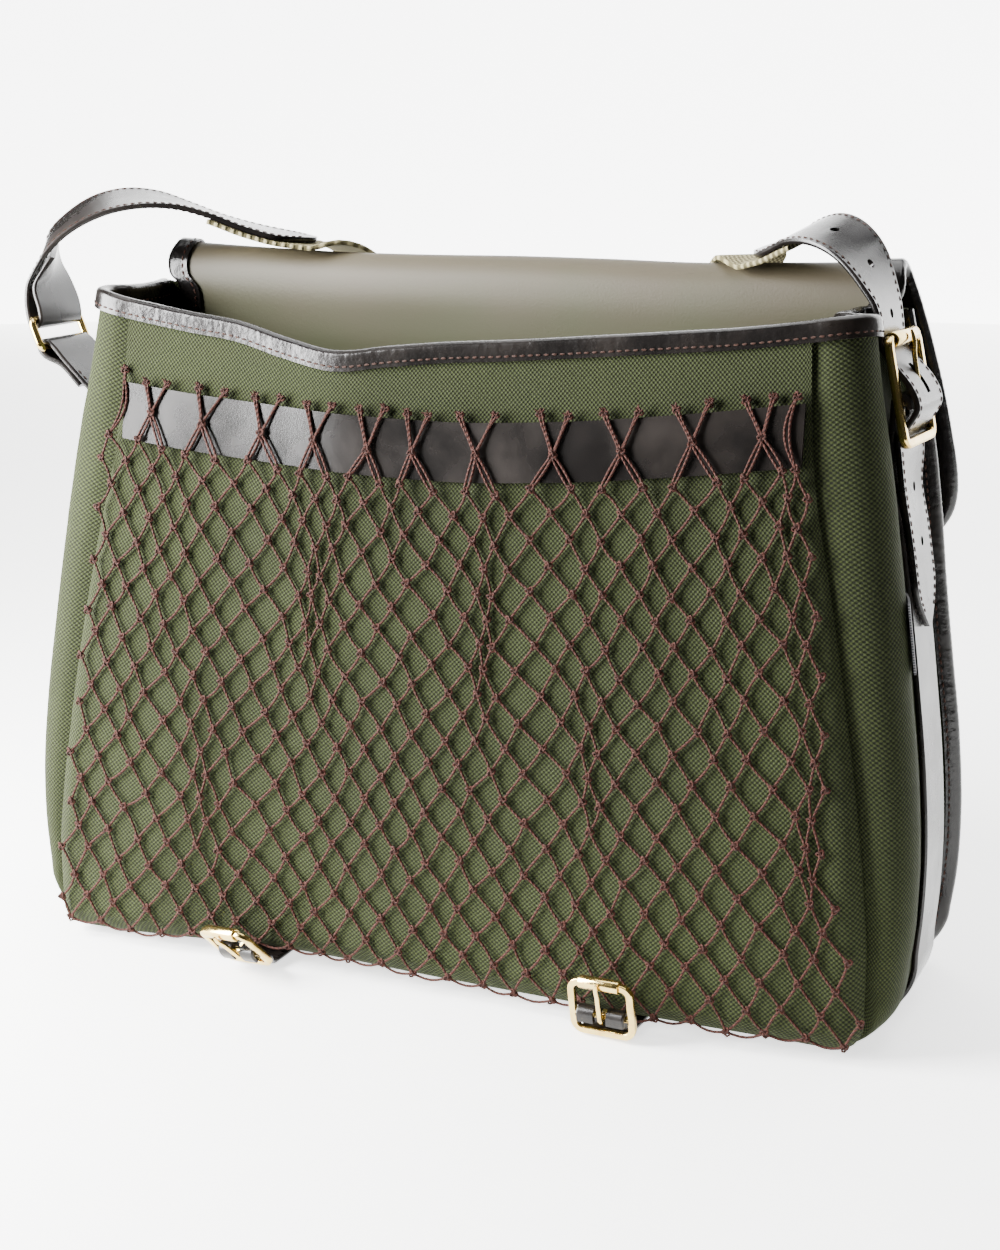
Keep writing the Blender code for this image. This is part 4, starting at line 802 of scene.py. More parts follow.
@dataclass
class Station:
    """One cross-section of the gusset: its foot on the outline, its outward way and its profile."""

    foot: tuple[float, float]
    out: tuple[float, float]
    profile: Profile
    rim_share: float = 0.0
    ease: float = field(init=False)
    layers: float = field(init=False)

    def __post_init__(self) -> None:
        """Work out how much looser the seam is on a round corner."""
        self.ease = 4 * (self.out[0] * self.out[1]) ** 2
        self.layers = 2 * CANVAS_WALL + 0.6 + self.ease

    def at(self, inward: float, y: float) -> tuple[float, float, float]:
        """Point at an inward offset and a depth."""
        x = self.foot[0] - inward * self.out[0]
        z = self.foot[1] - inward * self.out[1]
        if self.rim_share > 0:
            level = RIM_HEIGHT - 1.5 * math.exp(-(((y - 8) / 26) ** 2))
            top = FRONT["rim_z"](x) + ease((y + 34) / 14) * (level - FRONT["rim_z"](x))
            z += self.rim_share * (top - RIM_HEIGHT - BINDING_WALL - GAP)
        return x, y, z

    def row(self) -> list[tuple[float, float, float]]:
        """All the profile's points."""
        return [self.at(inward, y) for inward, y in self.profile]

    def seam(self, depth: float, stretch: float = 0.0) -> tuple[np.ndarray, np.ndarray]:
        """Edge of the back seam at a depth behind the gusset's face, and the flange's direction."""
        (root_in, root_y), (edge_in, edge_y) = self.profile[-2], self.profile[-1]
        out, back = unit(np.array([root_in - edge_in, edge_y - root_y]))
        inward = edge_in - stretch * out + depth * back
        y = edge_y + stretch * back + depth * out
        return np.array(self.at(inward, y)), np.array([out * self.out[0], back, out * self.out[1]])


@dataclass
class Body:
    """Canvas body: front panel, gusset and back panel."""

    corner_radius: float = 33.0
    panel_radius: float = 13.0
    bulge: float = 1.6
    column_depth: float = 17.0
    side_heights: tuple[float, ...] = (325, 307, 286, 262, 230, 195, 160, 120, 80, 52, 33)
    corner_turns: tuple[float, ...] = (15, 30, 45, 60, 75)
    base_count: int = 8
    cell: float = 4.0
    seam_fold: float = 7.0

    @property
    def corner_x(self) -> float:
        """Where the base's round corners start."""
        return BODY["side_x"](self.corner_radius) - self.corner_radius

    # Profiles

    def side_profile(self, height: float, side: int) -> Profile:
        """Inward offset and Y across the gusset at a height, from its front flange to the back seam."""
        half, column_y, back_y = (BODY[name](height) for name in ("side_x", "column_y", "back_y"))
        hand = "right" if side > 0 else "left"
        pinch, seam_in = BODY[f"pinch_{hand}"](height), BODY[f"seam_{hand}"](height)
        inner = half - BODY["panel_x"](height)
        corner = inner * 0.62
        face = column_y - self.bulge
        profile = [(inner + 12, column_y), (inner + 2, column_y),
                   (inner - 0.25 * (inner - corner), column_y - 0.5 * self.bulge),
                   (inner - 0.65 * (inner - corner), face)]
        for degrees in (0, 30, 60, 90):
            turn = math.radians(degrees)
            profile.append((corner * (1 - math.sin(turn)), face + self.column_depth * (1 - math.cos(turn))))
        root = back_y - 3.2
        flat = STRAP_WIDTH / 2 + 1
        return profile + [
            (pinch, max(STRAP_Y - flat, face + self.column_depth + 4)), (pinch, STRAP_Y),
            (pinch, min(STRAP_Y + flat - max(height - 280, 0) * 0.12, root - 8)),
            (0.75 * seam_in + 0.25 * pinch, root - 4.5), (seam_in, root + 0.8),
            (seam_in - 6.5, back_y - CANVAS_WALL / 2 - GAP),
        ]

    def base_profile(self, x: float) -> Profile:
        """Upward offset and Y across the gusset along the base, in the side profile's order."""
        lift, front, back = base_lift(x), BODY["column_y"](0), BODY["back_y"](0)
        return [(lift + 13, front), (lift + 7, front), (lift + 2.6, front + 0.4), (lift + 0.7, front + 1.8),
                (lift, front + 4), (lift, front + 7), (0.6 * lift, -43), (0, -34), (0, -14), (0, STRAP_Y),
                (0, 40), (1.4, back - 9), (3.2, back - 4), (3.0, back + 9)]

    def side_station(self, height: float, side: int) -> Station:
        """Station on the left (-1) or right (+1) side."""
        share = (height - self.corner_radius) / (RIM_HEIGHT - self.corner_radius)
        foot = (side * BODY["side_x"](height), height)
        return Station(foot, (side, 0.0), self.side_profile(height, side), share)

    def corner_station(self, degrees: float, side: int) -> Station:
        """Station on a rounded base corner, turned down from the side."""
        turn = math.radians(degrees)
        out = (side * math.cos(turn), -math.sin(turn))
        flank = self.side_profile(self.corner_radius * (1 - math.sin(turn)), side)
        base = self.base_profile(side * self.corner_x)
        share = math.sin(turn) ** 2
        profile = [(a + share * (c - a), b + share * (d - b)) for (a, b), (c, d) in zip(flank, base)]
        foot = (side * self.corner_x + self.corner_radius * out[0], self.corner_radius * (1 + out[1]))
        return Station(foot, out, profile)

    def stations(self) -> tuple[list[Station], list[Station], list[Station]]:
        """All stations of the gusset, from the left rim round the base to the right rim."""
        left = [self.side_station(height, -1) for height in self.side_heights]
        left += [self.corner_station(turn, -1) for turn in self.corner_turns]
        base = [Station((float(x), 0.0), (0.0, -1.0), self.base_profile(float(x)))
                for x in np.linspace(-self.corner_x, self.corner_x, self.base_count)]
        right = [self.corner_station(turn, 1) for turn in reversed(self.corner_turns)]
        right += [self.side_station(height, 1) for height in reversed(self.side_heights)]
        return left, base, right

    # Pieces

    def front_point(self, across: float, up: float) -> tuple[float, float, float]:
        """Point of the front panel, its side edges and hem rolled back to the gusset."""
        nominal = 2.0 + up * (RIM_HEIGHT - 2.0)
        rise = max(nominal - 2.0, 0.0)
        cut = 0.0
        if rise < self.panel_radius:
            cut = self.panel_radius - math.sqrt(self.panel_radius**2 - (self.panel_radius - rise) ** 2)
        x = across * (BODY["panel_x"](nominal) - cut)
        hem = FRONT["hem_z"](x)
        z = hem + up * (FRONT["rim_z"](x) - BINDING_WALL - GAP - hem)
        y = panel_face(x, z)
        edge_y = BODY["column_y"](z) - CANVAS_WALL - 2 * GAP
        side_roll = float(np.interp(abs(across), (0.955, 0.985, 1.0), (0.0, 0.35, 1.0)))
        hem_roll = float(np.interp(up, (0.0, 0.012, 0.035), (1.0, 0.35, 0.0)))
        return x, y + max(side_roll, hem_roll) * max(edge_y - y, 0.0), z

    def front_panel(self) -> None:
        """Front panel: one canvas sheet, slightly slack, its edges turned back to the gusset."""
        middle = np.linspace(-0.955, 0.955, 96)
        across = np.concatenate([[-1, -0.994, -0.985, -0.97], middle, [0.97, 0.985, 0.994, 1]])
        ups = np.concatenate([[0, 0.006, 0.012, 0.022, 0.035], np.linspace(0.047, 1.0, 78)])
        grid = np.array([[self.front_point(float(share), float(up)) for share in across] for up in ups])
        piece = cloth("canvas_front_panel", grid, CANVAS_WALL, CANVAS)
        hand_over(piece, CANVAS, "front_panel")

    def gusset(self) -> None:
        """Gusset: one canvas strip that makes both sides, the base and the two front columns."""
        left, base, right = self.stations()
        rows = np.array([station.row() for station in left + base + right])
        grid = refine(refine(rows, self.cell, axis=0), self.cell, axis=1)
        for row in grid:
            for point in row:
                height = point[2]
                if 20 < height < 300 and -42 < point[1] < 34 and abs(point[0]) > 150:
                    calm = ease((300 - height) / 40) * ease((height - 20) / 40) * ease((34 - point[1]) / 10)
                    away = ease((abs(point[1] - STRAP_Y) - STRAP_WIDTH / 2) / 6)
                    point[0] += math.copysign(calm * away * 0.7 * wander(point[1], height, 34.0, 3.1), point[0])
        grid[..., 2] = np.maximum(grid[..., 2], FLOOR_GAP)
        piece = cloth("canvas_gusset", grid, CANVAS_WALL, CANVAS)
        hand_over(piece, CANVAS, "gusset")

    def back_panel(self) -> None:
        """Back panel: one canvas sheet whose edge turns out beside the gusset's in the back seam."""
        left, base, right = self.stations()
        turned = [station.seam(station.layers, -self.seam_fold)[0] for station in left + base + right]
        last = len(turned) - 1
        rows = []
        for place in range(len(left)):
            start, end = turned[place], turned[last - place]
            row = [start]
            for step in range(1, self.base_count - 1):
                point = start + (end - start) * step / (self.base_count - 1)
                point[1] = BODY["back_y"](point[2]) + CANVAS_WALL
                row.append(point)
            rows.append(row + [end])
        rows.append(turned[len(left):len(left) + self.base_count])
        inner = np.array(rows)
        grid = refine(refine(inner, self.cell, axis=0), self.cell, axis=1)
        for row in grid:
            for point in row:
                calm = ease((185 - abs(point[0])) / 30) * ease((point[2] - 20) / 40) * ease((290 - point[2]) / 40)
                point[1] += calm * 0.8 * wander(point[0], point[2], 58.0, 9.4)
        piece = cloth("canvas_back_panel", grid, CANVAS_WALL, CANVAS)
        hand_over(piece, CANVAS, "back_panel")
        self.back_seam(left + base + right)

    def back_seam(self, around: list[Station]) -> None:
        """The back panel's turned edge, a canvas flange beside the gusset's inside the seam binding."""
        edge = np.array([station.seam(station.layers)[0] for station in around])
        turned = np.array([station.seam(station.layers, -self.seam_fold)[0] for station in around])
        grid = refine(np.stack([edge, turned], axis=1), self.cell, axis=0)
        piece = cloth("canvas_back_seam", grid[:, ::-1], CANVAS_WALL, CANVAS)
        hand_over(piece, CANVAS, "back_panel")


# Flap


@dataclass
class Flap:
    """Flap thrown back over the bag's back: proofed canvas outside and a smooth coated lining."""

    corner_radius: float = 30.0
    lining_back: float = 3.0
    shares: tuple[float, ...] = tuple(float(share) for share in np.linspace(-1, 1, 9))

    def stations(self) -> list[tuple[float, float, float]]:
        """Rows (y, z, half width) of the flap down to its free edge, its corners rounded by an arc."""
        rows = list(FLAP_ROWS)
        top_y, top_z, top_half = FLAP_ROWS[-1]
        edge_y, edge_z, edge_half = FLAP_EDGE
        run = math.hypot(edge_y - top_y, edge_z - top_z)
        for degrees in (0, 25, 50, 70, 90):
            turn = math.radians(degrees)
            share = 1 - self.corner_radius * (1 - math.sin(turn)) / run
            half = top_half + share * (edge_half - top_half) - self.corner_radius * (1 - math.cos(turn))
            rows.append((top_y + share * (edge_y - top_y), top_z + share * (edge_z - top_z), half))
        return rows

    def profile(self) -> list[tuple[float, ...]]:
        """Rows of (y, z, half width, normal y, normal z), normals on the lining's side."""
        rows = self.stations()
        directions = tangents_of([(y, z) for y, z, _ in rows])
        return [(y, z, half, -dz, dy) for (y, z, half), (dy, dz) in zip(rows, directions)]

    def point(self, row: tuple[float, ...], share: float, depth: float) -> tuple[float, float, float]:
        """A point of the flap at a depth behind the lining's face."""
        y, z, half, normal_y, normal_z = row
        x = share * half
        sag = RIDGE["drop"](x) * min(max((z - 250) / 90, 0.0), 1.0)
        return x, y - depth * normal_y, z - depth * normal_z - sag

    def fold(self, grid: np.ndarray, seed: float) -> np.ndarray:
        """Let the hanging part and the inside wave a little, in the same way for both layers."""
        for row in grid:
            for point in row:
                calm = ease((175 - abs(point[0])) / 40) * ease((325 - point[2]) / 20)
                point[1] += calm * 0.7 * wander(point[0], point[2], 66.0, seed)
        return grid

    def canvas(self) -> None:
        """Outer canvas: from inside the back panel's top over the ridge and down behind."""
        depth = LINING_WALL + GAP + CANVAS_WALL
        rows = np.array([[self.point(row, share, depth) for share in self.shares[::-1]] for row in self.profile()])
        grid = self.fold(refine(refine(rows, 4.0, axis=0), 5.0, axis=1), 5.5)
        piece = cloth("canvas_flap", grid, CANVAS_WALL, CANVAS)
        hand_over(piece, CANVAS, "flap")

    def lining(self, body: Body) -> None:
        """Lining: one smooth sheet from inside the bag's back over the ridge to the flap's edge."""
        rows = []
        for height in (12, *body.side_heights[:2:-1]):
            half = BODY["side_x"](max(height, 33)) - BODY["seam_right"](height) - 6.0
            if height < body.corner_radius:
                half -= body.corner_radius - height
            y = BODY["back_y"](height) - self.lining_back
            rows.append([(share * half, y, height) for share in self.shares])
        rows += [[self.point(row, share, 0.0) for share in self.shares] for row in self.profile()]
        grid = refine(refine(np.array(rows), 4.0, axis=0), 5.0, axis=1)
        inside = int(np.argmax(grid[:, 0, 2] > 296))
        grid[inside:] = self.fold(grid[inside:], 5.5)
        piece = cloth("flap_coated_lining", grid, LINING_WALL, LINING)
        hand_over(piece, LINING, "flap_lining")


# Bindings


@dataclass
class Binding:
    """Leather folded over an edge: a rounded U carried along a path, crinkled and sewn through."""

    name: str
    node: str
    path: np.ndarray
    outward: np.ndarray
    normal: np.ndarray
    half_gaps: np.ndarray
    reach: float = 9.5
    headroom: float = 1.3
    stitch_inset: float = 2.5
    step: float = 1.6
    crinkle: float = 0.14

    def wrinkle(self, along: float, out: float) -> float:
        """How far the leather puckers outwards, in millimetres."""
        ribs = 0.5 + 0.5 * math.sin(along * 2.3 + 1.4 * wander(along, out, 9.0, 2.2) * math.pi)
        patch = ease(0.5 + 1.6 * wander(along, 0.0, 34.0, 4.4))
        return self.crinkle * ((0.25 + patch) * ribs + 0.5 + 0.5 * wander(along, out, 7.0, 6.1))

    def build(self) -> None:
        """Make the binding and its sewing and hand them over."""
        marks = np.linalg.norm(np.diff(self.path, axis=0), axis=1)
        path, outward, normal = (refine(values, self.step, lengths=marks)
                                 for values in (self.path, self.outward, self.normal))
        outward = unit(outward)
        normal = unit(normal)
        halves = refine(self.half_gaps[:, None], self.step, lengths=marks)[:, 0] + GAP + BINDING_WALL
        over = BINDING_WALL + self.headroom
        travelled = travelled_by(path)
        legs = np.linspace(-self.reach, 0.0, 7)[:-1]
        turns = np.radians(np.linspace(90, -90, 9))
        grid = []
        for place, point in enumerate(path):
            half = halves[place]
            section = [(out, half, 0.0, 1.0) for out in legs]
            section += [(over * math.cos(turn), half * math.sin(turn), math.cos(turn), math.sin(turn))
                        for turn in turns]
            section += [(out, -half, 0.0, -1.0) for out in legs[::-1]]
            row = []
            for out, across, face_out, face_across in section:
                puff = self.wrinkle(float(travelled[place]), out + (20 if across < 0 else 0))
                if out < 0:
                    puff *= 0.25 + 0.75 * abs(math.cos(math.pi * (out + self.stitch_inset) / self.reach))
                row.append(point + outward[place] * (out + puff * face_out)
                           + normal[place] * (across + puff * face_across))
            grid.append(row)
        grid = np.array(grid)
        grid[..., 2] = np.maximum(grid[..., 2], FLOOR_GAP)
        top = len(section) // 2
        facing = np.cross(grid[0, top + 1] - grid[0, top], grid[1, top] - grid[0, top])
        if np.dot(facing, outward[0]) < 0:
            grid = grid[:, ::-1]
        piece = cloth(self.name, grid, BINDING_WALL, BINDING_LEATHER)
        hand_over(piece, BINDING_LEATHER, self.node)
        lines = []
        for side in (1, -1):
            lift = (halves + 0.3)[:, None] * side
            line = path - (self.reach - self.stitch_inset) * outward + normal * lift
            lines.append((line, normal * side))
        STITCHER.sew(f"{self.name}_stitches", lines)


@dataclass
class Bindings:
    """The three black leather bindings: rim, back seam and flap."""

    body: Body
    flap: Flap

    def rim_half(self, side: int) -> list[tuple[np.ndarray, np.ndarray]]:
        """Rim points of one side's gusset, from the seam to the front, each with its way up the cloth."""
        top = self.body.side_station(self.body.side_heights[0], side).row()
        below = self.body.side_station(self.body.side_heights[1], side).row()
        pairs = []
        for place in range(11, 3, -1):
            shift = (0.0, CANVAS_WALL / 2) if place < 6 else (-side * CANVAS_WALL / 2, 0.0)
            point = np.array([top[place][0] + shift[0], top[place][1] + shift[1], top[place][2]])
            pairs.append((point, unit(np.array(top[place]) - np.array(below[place]))))
        return pairs

    def rim(self) -> Binding:
        """Binding over the rim of the front and both sides."""
        pairs = self.rim_half(-1)
        for across in (-1.0, *(float(share) for share in np.linspace(-0.955, 0.955, 13)), 1.0):
            top, below = (np.array(self.body.front_point(across, up)) for up in (1.0, 0.945))
            depth = 1.7 if abs(across) == 1.0 else CANVAS_WALL + GAP / 2
            pairs.append((top + np.array([0.0, depth, 0.0]), unit(top - below)))
        pairs += self.rim_half(1)[::-1]
        path = np.array([point for point, _ in pairs])
        up = np.array([rise for _, rise in pairs])
        side = unit(np.cross(tangents_of(path), up))
        return Binding("leather_rim_binding", "rim_binding", path, up, side,
                       np.full(len(path), CANVAS_WALL + GAP), reach=7.2, stitch_inset=2.2, crinkle=0.16)

    def back_seam(self) -> Binding:
        """Binding over the back seam, standing out at the sides and laid back at the base."""
        left, base, right = self.body.stations()
        around = left + base + right
        path = np.array([station.seam(station.layers / 2)[0] for station in around])
        outward = np.array([station.seam(0)[1] for station in around])
        normal = unit(np.cross(tangents_of(path), outward))
        halves = np.array([station.layers / 2 + 0.6 * station.ease for station in around])
        return Binding("leather_back_seam_binding", "back_seam_binding", path, outward, normal, halves,
                       reach=5.0, stitch_inset=1.6)

    def flap_edge(self) -> Binding:
        """Binding over the flap's side edges and its free edge."""
        rows = self.flap.profile()[1:]
        middle = (LINING_WALL + GAP + CANVAS_WALL) / 2
        shares = self.flap.shares

        def place_at(row: tuple[float, ...], share: float) -> np.ndarray:
            """Middle of the flap's two layers at a share of a row."""
            return np.array(self.flap.point(row, share, middle))

        edge = [(place_at(row, 1.0), unit(place_at(row, 1.0) - place_at(row, shares[-2])), row) for row in rows]
        lip, above = rows[-1], rows[-2]
        corner = edge.pop()[1]
        down = unit(place_at(lip, 0.0) - place_at(above, 0.0))
        foot = [(place_at(lip, share), down, lip) for share in shares[::-1]]
        foot[0] = (foot[0][0], unit(corner + down), lip)
        foot[-1] = (foot[-1][0], unit(corner * (-1, 1, 1) + down), lip)
        left = [(place_at(row, -1.0), unit(place_at(row, -1.0) - place_at(row, shares[1])), row)
                for row in reversed(rows[:-1])]
        ends = edge + foot + left
        for place, (end, outward, row) in enumerate(ends):
            if row[1] < FLAP_ROWS[-1][1] - 1 and row is not lip:
                share = (FLAP_ROWS[-1][1] - row[1]) / (FLAP_ROWS[-1][1] - FLAP_EDGE[1])
                ends[place] = (end, unit(outward + down * share), row)
        path = np.array([end for end, _, _ in ends])
        outward = np.array([way for _, way, _ in ends])
        normal = np.array([[0.0, row[3], row[4]] for _, _, row in ends])
        return Binding("leather_flap_binding", "flap_binding", path, outward, normal,
                       np.full(len(path), middle + 0.1))

    def build(self) -> None:
        """Make all three."""
        for binding in (self.rim(), self.back_seam(), self.flap_edge()):
            binding.build()


# Net pocket


@dataclass
class NetPocket:
    """Knotted twine net laced over a leather band on the front panel."""

    band_half: float = 172.0
    twine: float = 0.64
    knot: float = 2.1
    half_rows: int = 20
    low: float = 11.5
    hem_gap: float = 5.0
    base_ends: tuple[float, float] = (-198.0, 203.0)
    top_ends: tuple[float, float] = (-173.0, 171.0)
    crossings: tuple[tuple[float, float], ...] = (
        (-153.1, 267.8), (-124.4, 264.8), (-91.6, 261.8), (-62.9, 260.9), (-34.9, 258.2), (-12.4, 258.2),
        (19.0, 259.2), (56.0, 260.6), (88.3, 264.1), (120.7, 270.3), (152.0, 273.8))
    tops: tuple[tuple[float, float], ...] = (
        (-170.1, 287.5), (-156.8, 282.4), (-145.1, 282.0), (-127.9, 281.4), (-113.1, 279.8), (-96.2, 278.6),
        (-82.3, 278.6), (-67.4, 276.8), (-54.1, 276.9), (-39.8, 276.2), (-27.5, 276.9), (-15.7, 275.7),
        (-5.1, 274.9), (9.9, 275.8), (27.1, 276.3), (48.6, 278.3), (62.3, 278.2), (78.8, 280.4), (95.1, 281.7),
        (112.0, 283.9), (126.8, 287.3), (142.9, 289.4), (155.3, 290.9), (165.8, 291.9))
    bottoms: tuple[tuple[float, float], ...] = (
        (-176.1, 256.5), (-159.5, 255.0), (-145.9, 251.0), (-133.1, 249.2), (-115.9, 248.1), (-98.6, 249.2),
        (-83.4, 245.5), (-71.1, 244.9), (-54.2, 244.1), (-42.0, 245.4), (-27.2, 242.7), (-18.0, 243.3),
        (-3.4, 240.6), (12.0, 241.9), (30.6, 240.9), (48.9, 245.3), (66.2, 246.5), (79.7, 246.7), (99.1, 249.3),
        (112.9, 250.3), (133.2, 254.0), (145.2, 256.3), (161.9, 260.4), (167.7, 261.6))
    bunches: tuple[tuple[float, float, float, float], ...] = (
        (-62.0, 190.0, 26.0, 46.0), (26.0, 190.0, 24.0, 60.0), (-121.0, 86.0, 24.0, 34.0),
        (182.0, 96.0, 20.0, 40.0), (80.0, 120.0, 20.0, 36.0))
    vertices: list = field(default_factory=list)
    faces: list = field(default_factory=list)
    uvs: list = field(default_factory=list)

    def band(self) -> None:
        """Leather band that the net is laced over."""
        end = self.band_half - 2.5
        rows = []
        for drop in np.linspace(BAND_HEIGHT, 0.0, 7):
            row = []
            for x in np.linspace(-end, end, 87):
                z = BAND["top"](x) - drop
                row.append((x, panel_y(x, z) - 2 * GAP - BAND_WALL, z))
            rows.append(row)
        piece = cloth("leather_net_band", np.array(rows), BAND_WALL, LEATHER)
        hand_over(piece, LEATHER, "net_band")

    def face(self, x: float, z: float) -> float:
        """Front of what the net lies on: the band at the top and the canvas below."""
        top = BAND["top"](x)
        over_band = ease((z - (top - BAND_HEIGHT - 8)) / 8) * ease((top + 6 - z) / 6)
        return panel_face(x, z) - over_band * (BAND_WALL + 2.2 * GAP)

    def lay(self, x: float, z: float, lift: float) -> np.ndarray:
        """Point a lift in front of what the net lies on."""
        return np.array([x, self.face(x, z) - lift, z])

    def tube(self, path: np.ndarray, radius: float, sides: int = 5) -> None:
        """Add a tube of twine along a path, open at its ends inside the knots."""
        tangents = tangents_of(path)
        outward = np.array([0.0, -1.0, 0.0])
        start = sum(len(block) for block in self.vertices)
        marks = travelled_by(path) * MM
        ring, pairs = [], []
        for point, tangent, mark in zip(path, tangents, marks):
            across = np.cross(tangent, outward)
            across = across / max(np.linalg.norm(across), 1e-6)
            up = np.cross(across, tangent)
            for corner in range(sides):
                turn = 2 * math.pi * corner / sides
                ring.append(point + radius * (math.cos(turn) * across + math.sin(turn) * up))
                pairs.append((corner / sides, mark))
        self.vertices.append(np.array(ring))
        self.uvs.append(np.array(pairs))
        self.faces += grid_faces(len(path), sides, start, closed=True)
        self.faces.append(tuple(range(start, start + sides))[::-1])
        last = start + (len(path) - 1) * sides
        self.faces.append(tuple(range(last, last + sides)))

    def knot_shape(self, steps: int = 14, sides: int = 5) -> tuple[np.ndarray, list, np.ndarray]:
        """One tight knot, modelled once: a trefoil of twine flattened against the cloth."""
        turns = np.linspace(0, 2 * math.pi, steps, endpoint=False)
        path = np.stack([np.sin(turns) + 2 * np.sin(2 * turns), -0.75 * np.sin(3 * turns),
                         np.cos(turns) - 2 * np.cos(2 * turns)], axis=1) * self.knot / 3
        ahead = unit(np.roll(path, -1, axis=0) - np.roll(path, 1, axis=0))
        radius = self.twine * 0.92
        points, faces, uvs = [], [], []
        for place in range(steps):
            side = unit(np.cross(ahead[place], np.array([0.1, 1.0, 0.05])))
            up = np.cross(side, ahead[place])
            for corner in range(sides):
                turn = 2 * math.pi * corner / sides
                points.append(path[place] + radius * (math.cos(turn) * side + math.sin(turn) * up))
                uvs.append((corner / sides, place * 0.0006))
        for place in range(steps):
            after = (place + 1) % steps
            for corner in range(sides):
                beside = (corner + 1) % sides
                faces.append((place * sides + corner, place * sides + beside,
                              after * sides + beside, after * sides + corner))
        return np.array(points), faces, np.array(uvs)

    def shift(self, x: float, z: float) -> float:
        """Sideways pull of the bunches on the net at a place."""
        pull = 0.0
        for centre, height, width, tall in self.bunches:
            near = math.exp(-((x - centre) / width) ** 2 - ((z - height) / tall) ** 2)
            pull += 0.62 * (centre - x) * near
        return pull

    def place(self, column: float, row: int) -> np.ndarray:
        """Knot of the net at a column, in meshes, and a half row down from the lacing."""
        last = len(self.bottoms) - 1
        inside = min(max(column, 0.0), float(last))
        index = np.arange(len(self.bottoms))
        top_x = float(np.interp(inside, index, [x for x, _ in self.bottoms]))
        top_z = float(np.interp(inside, index, [z for _, z in self.bottoms]))
        share = row / self.half_rows
        base_x = self.base_ends[0] + (self.base_ends[1] - self.base_ends[0]) * inside / last
        blend = ease(min(share * 3.0, 1.0)) * 0.55 + 0.45 * share
        even_x = self.top_ends[0] + (self.top_ends[1] - self.top_ends[0]) * inside / last
        wide = even_x + (base_x - even_x) * share**0.85
        x = top_x + (wide - top_x) * blend
        low = self.low + 1.6 * math.sin(inside * 2.1)
        z = top_z + (low - top_z) * share**1.02
        x += (column - inside) * (11.0 + 5.0 * share)
        seed = row * 7.3 + column * 3.1
        loose = ease(share * 5)
        x += self.shift(x, z) + loose * 3.4 * noise.noise(Vector((column * 0.83, row * 0.61, 2.0)))
        z += loose * 3.0 * noise.noise(Vector((column * 0.71, row * 0.57, 8.0))) - 1.5 * loose
        z = max(z, FRONT["hem_z"](x) + self.hem_gap)
        lift = 1.5 + 1.1 * (0.5 + 0.5 * noise.noise(Vector((seed, 0.3, 5.0))))
        return self.lay(x, z, lift)

    def strand(self, start: np.ndarray, end: np.ndarray, bow: float, steps: int = 6) -> None:
        """Twine between two knots, bowed sideways and resting nearer the cloth at its middle."""
        path = []
        away = unit(np.array([end[2] - start[2], 0.0, start[0] - end[0]]))
        for step in range(steps + 1):
            share = step / steps
            point = start + (end - start) * share + away * bow * math.sin(math.pi * share)
            sunk = self.face(point[0], point[2]) - self.twine - 0.35
            rest = math.sin(math.pi * share) ** 0.7
            point[1] = point[1] + (sunk - point[1]) * rest * 0.55
            point[1] = min(point[1], self.face(point[0], point[2]) - self.twine - 0.15)
            path.append(point)
        self.tube(np.array(path), self.twine)

    def lacing(self, knots: list) -> None:
        """Doubled twine crossed over the band, with its top and bottom knots."""
        tops = [self.lay(x, z, 1.3) for x, z in self.tops]
        bottoms = [self.place(column, 0) for column in range(len(self.bottoms))]
        knots += tops
        for number, (x, z) in enumerate(self.crossings):
            middle = self.lay(x, z, 1.7)
            knots.append(middle)
            for end in (tops[2 * number + 1], tops[2 * number + 2], bottoms[2 * number + 1],
                        bottoms[2 * number + 2]):
                for side in (-1, 1):
                    aside = np.array([0.55 * side, 0.0, 0.25 * side])
                    self.strand(end + aside * 1.6, middle + aside, 0.45 * side, 4)
        for top, bottom, way in ((tops[0], bottoms[0], -1), (tops[-1], bottoms[-1], 1)):
            for bow in (3.2, 5.4):
                self.strand(top, bottom, bow * way, 7)

    def tips(self) -> None:
        """Frayed ends standing from the top knots."""
        for number, (x, z) in enumerate(self.tops):
            root = self.lay(x, z, 1.5)
            for turn in (0.7, 1.6, 2.4):
                way = turn + 0.5 * noise.noise(Vector((number * 1.7, turn, 1.0)))
                length = 2.6 + 1.4 * noise.noise(Vector((number * 2.3, turn * 3, 4.0)))
                outward = -0.7 * abs(math.sin(turn * 3))
                end = root + np.array([math.cos(way) * length, outward, math.sin(way) * length])
                self.tube(np.array([root, (root + end) / 2 + (0.2, -0.2, 0.0), end]), self.twine * 0.55, 4)

    def netting(self) -> None:
        """The whole net: lacing, meshes, selvage loops and knots."""
        columns = len(self.bottoms)
        knots: list[np.ndarray] = []
        self.lacing(knots)
        placed = {}
        for row in range(self.half_rows + 1):
            count = columns if row % 2 == 0 else columns + 1
            for number in range(count):
                column = number - (0.5 if row % 2 else 0.0)
                placed[row, column] = self.place(column, row)
        knots += list(placed.values())
        for (row, column), start in placed.items():
            for step in (-0.5, 0.5):
                end = placed.get((row + 1, column + step))
                if end is not None:
                    bow = 1.5 * noise.noise(Vector((row * 1.9 + column, column * 1.3 + step, 6.0)))
                    self.strand(start, end, bow + 0.5 * step)
        for column in range(columns - 1):
            start, end = placed[self.half_rows, float(column)], placed[self.half_rows, column + 1.0]
            self.strand(start, end, 2.6)
        self.tips()
        piece = link_mesh("twine_net", np.concatenate(self.vertices), self.faces, np.concatenate(self.uvs), TWINE)
        smooth(piece, 75)
        hand_over(piece, TWINE, "net")
        self.tie(knots)

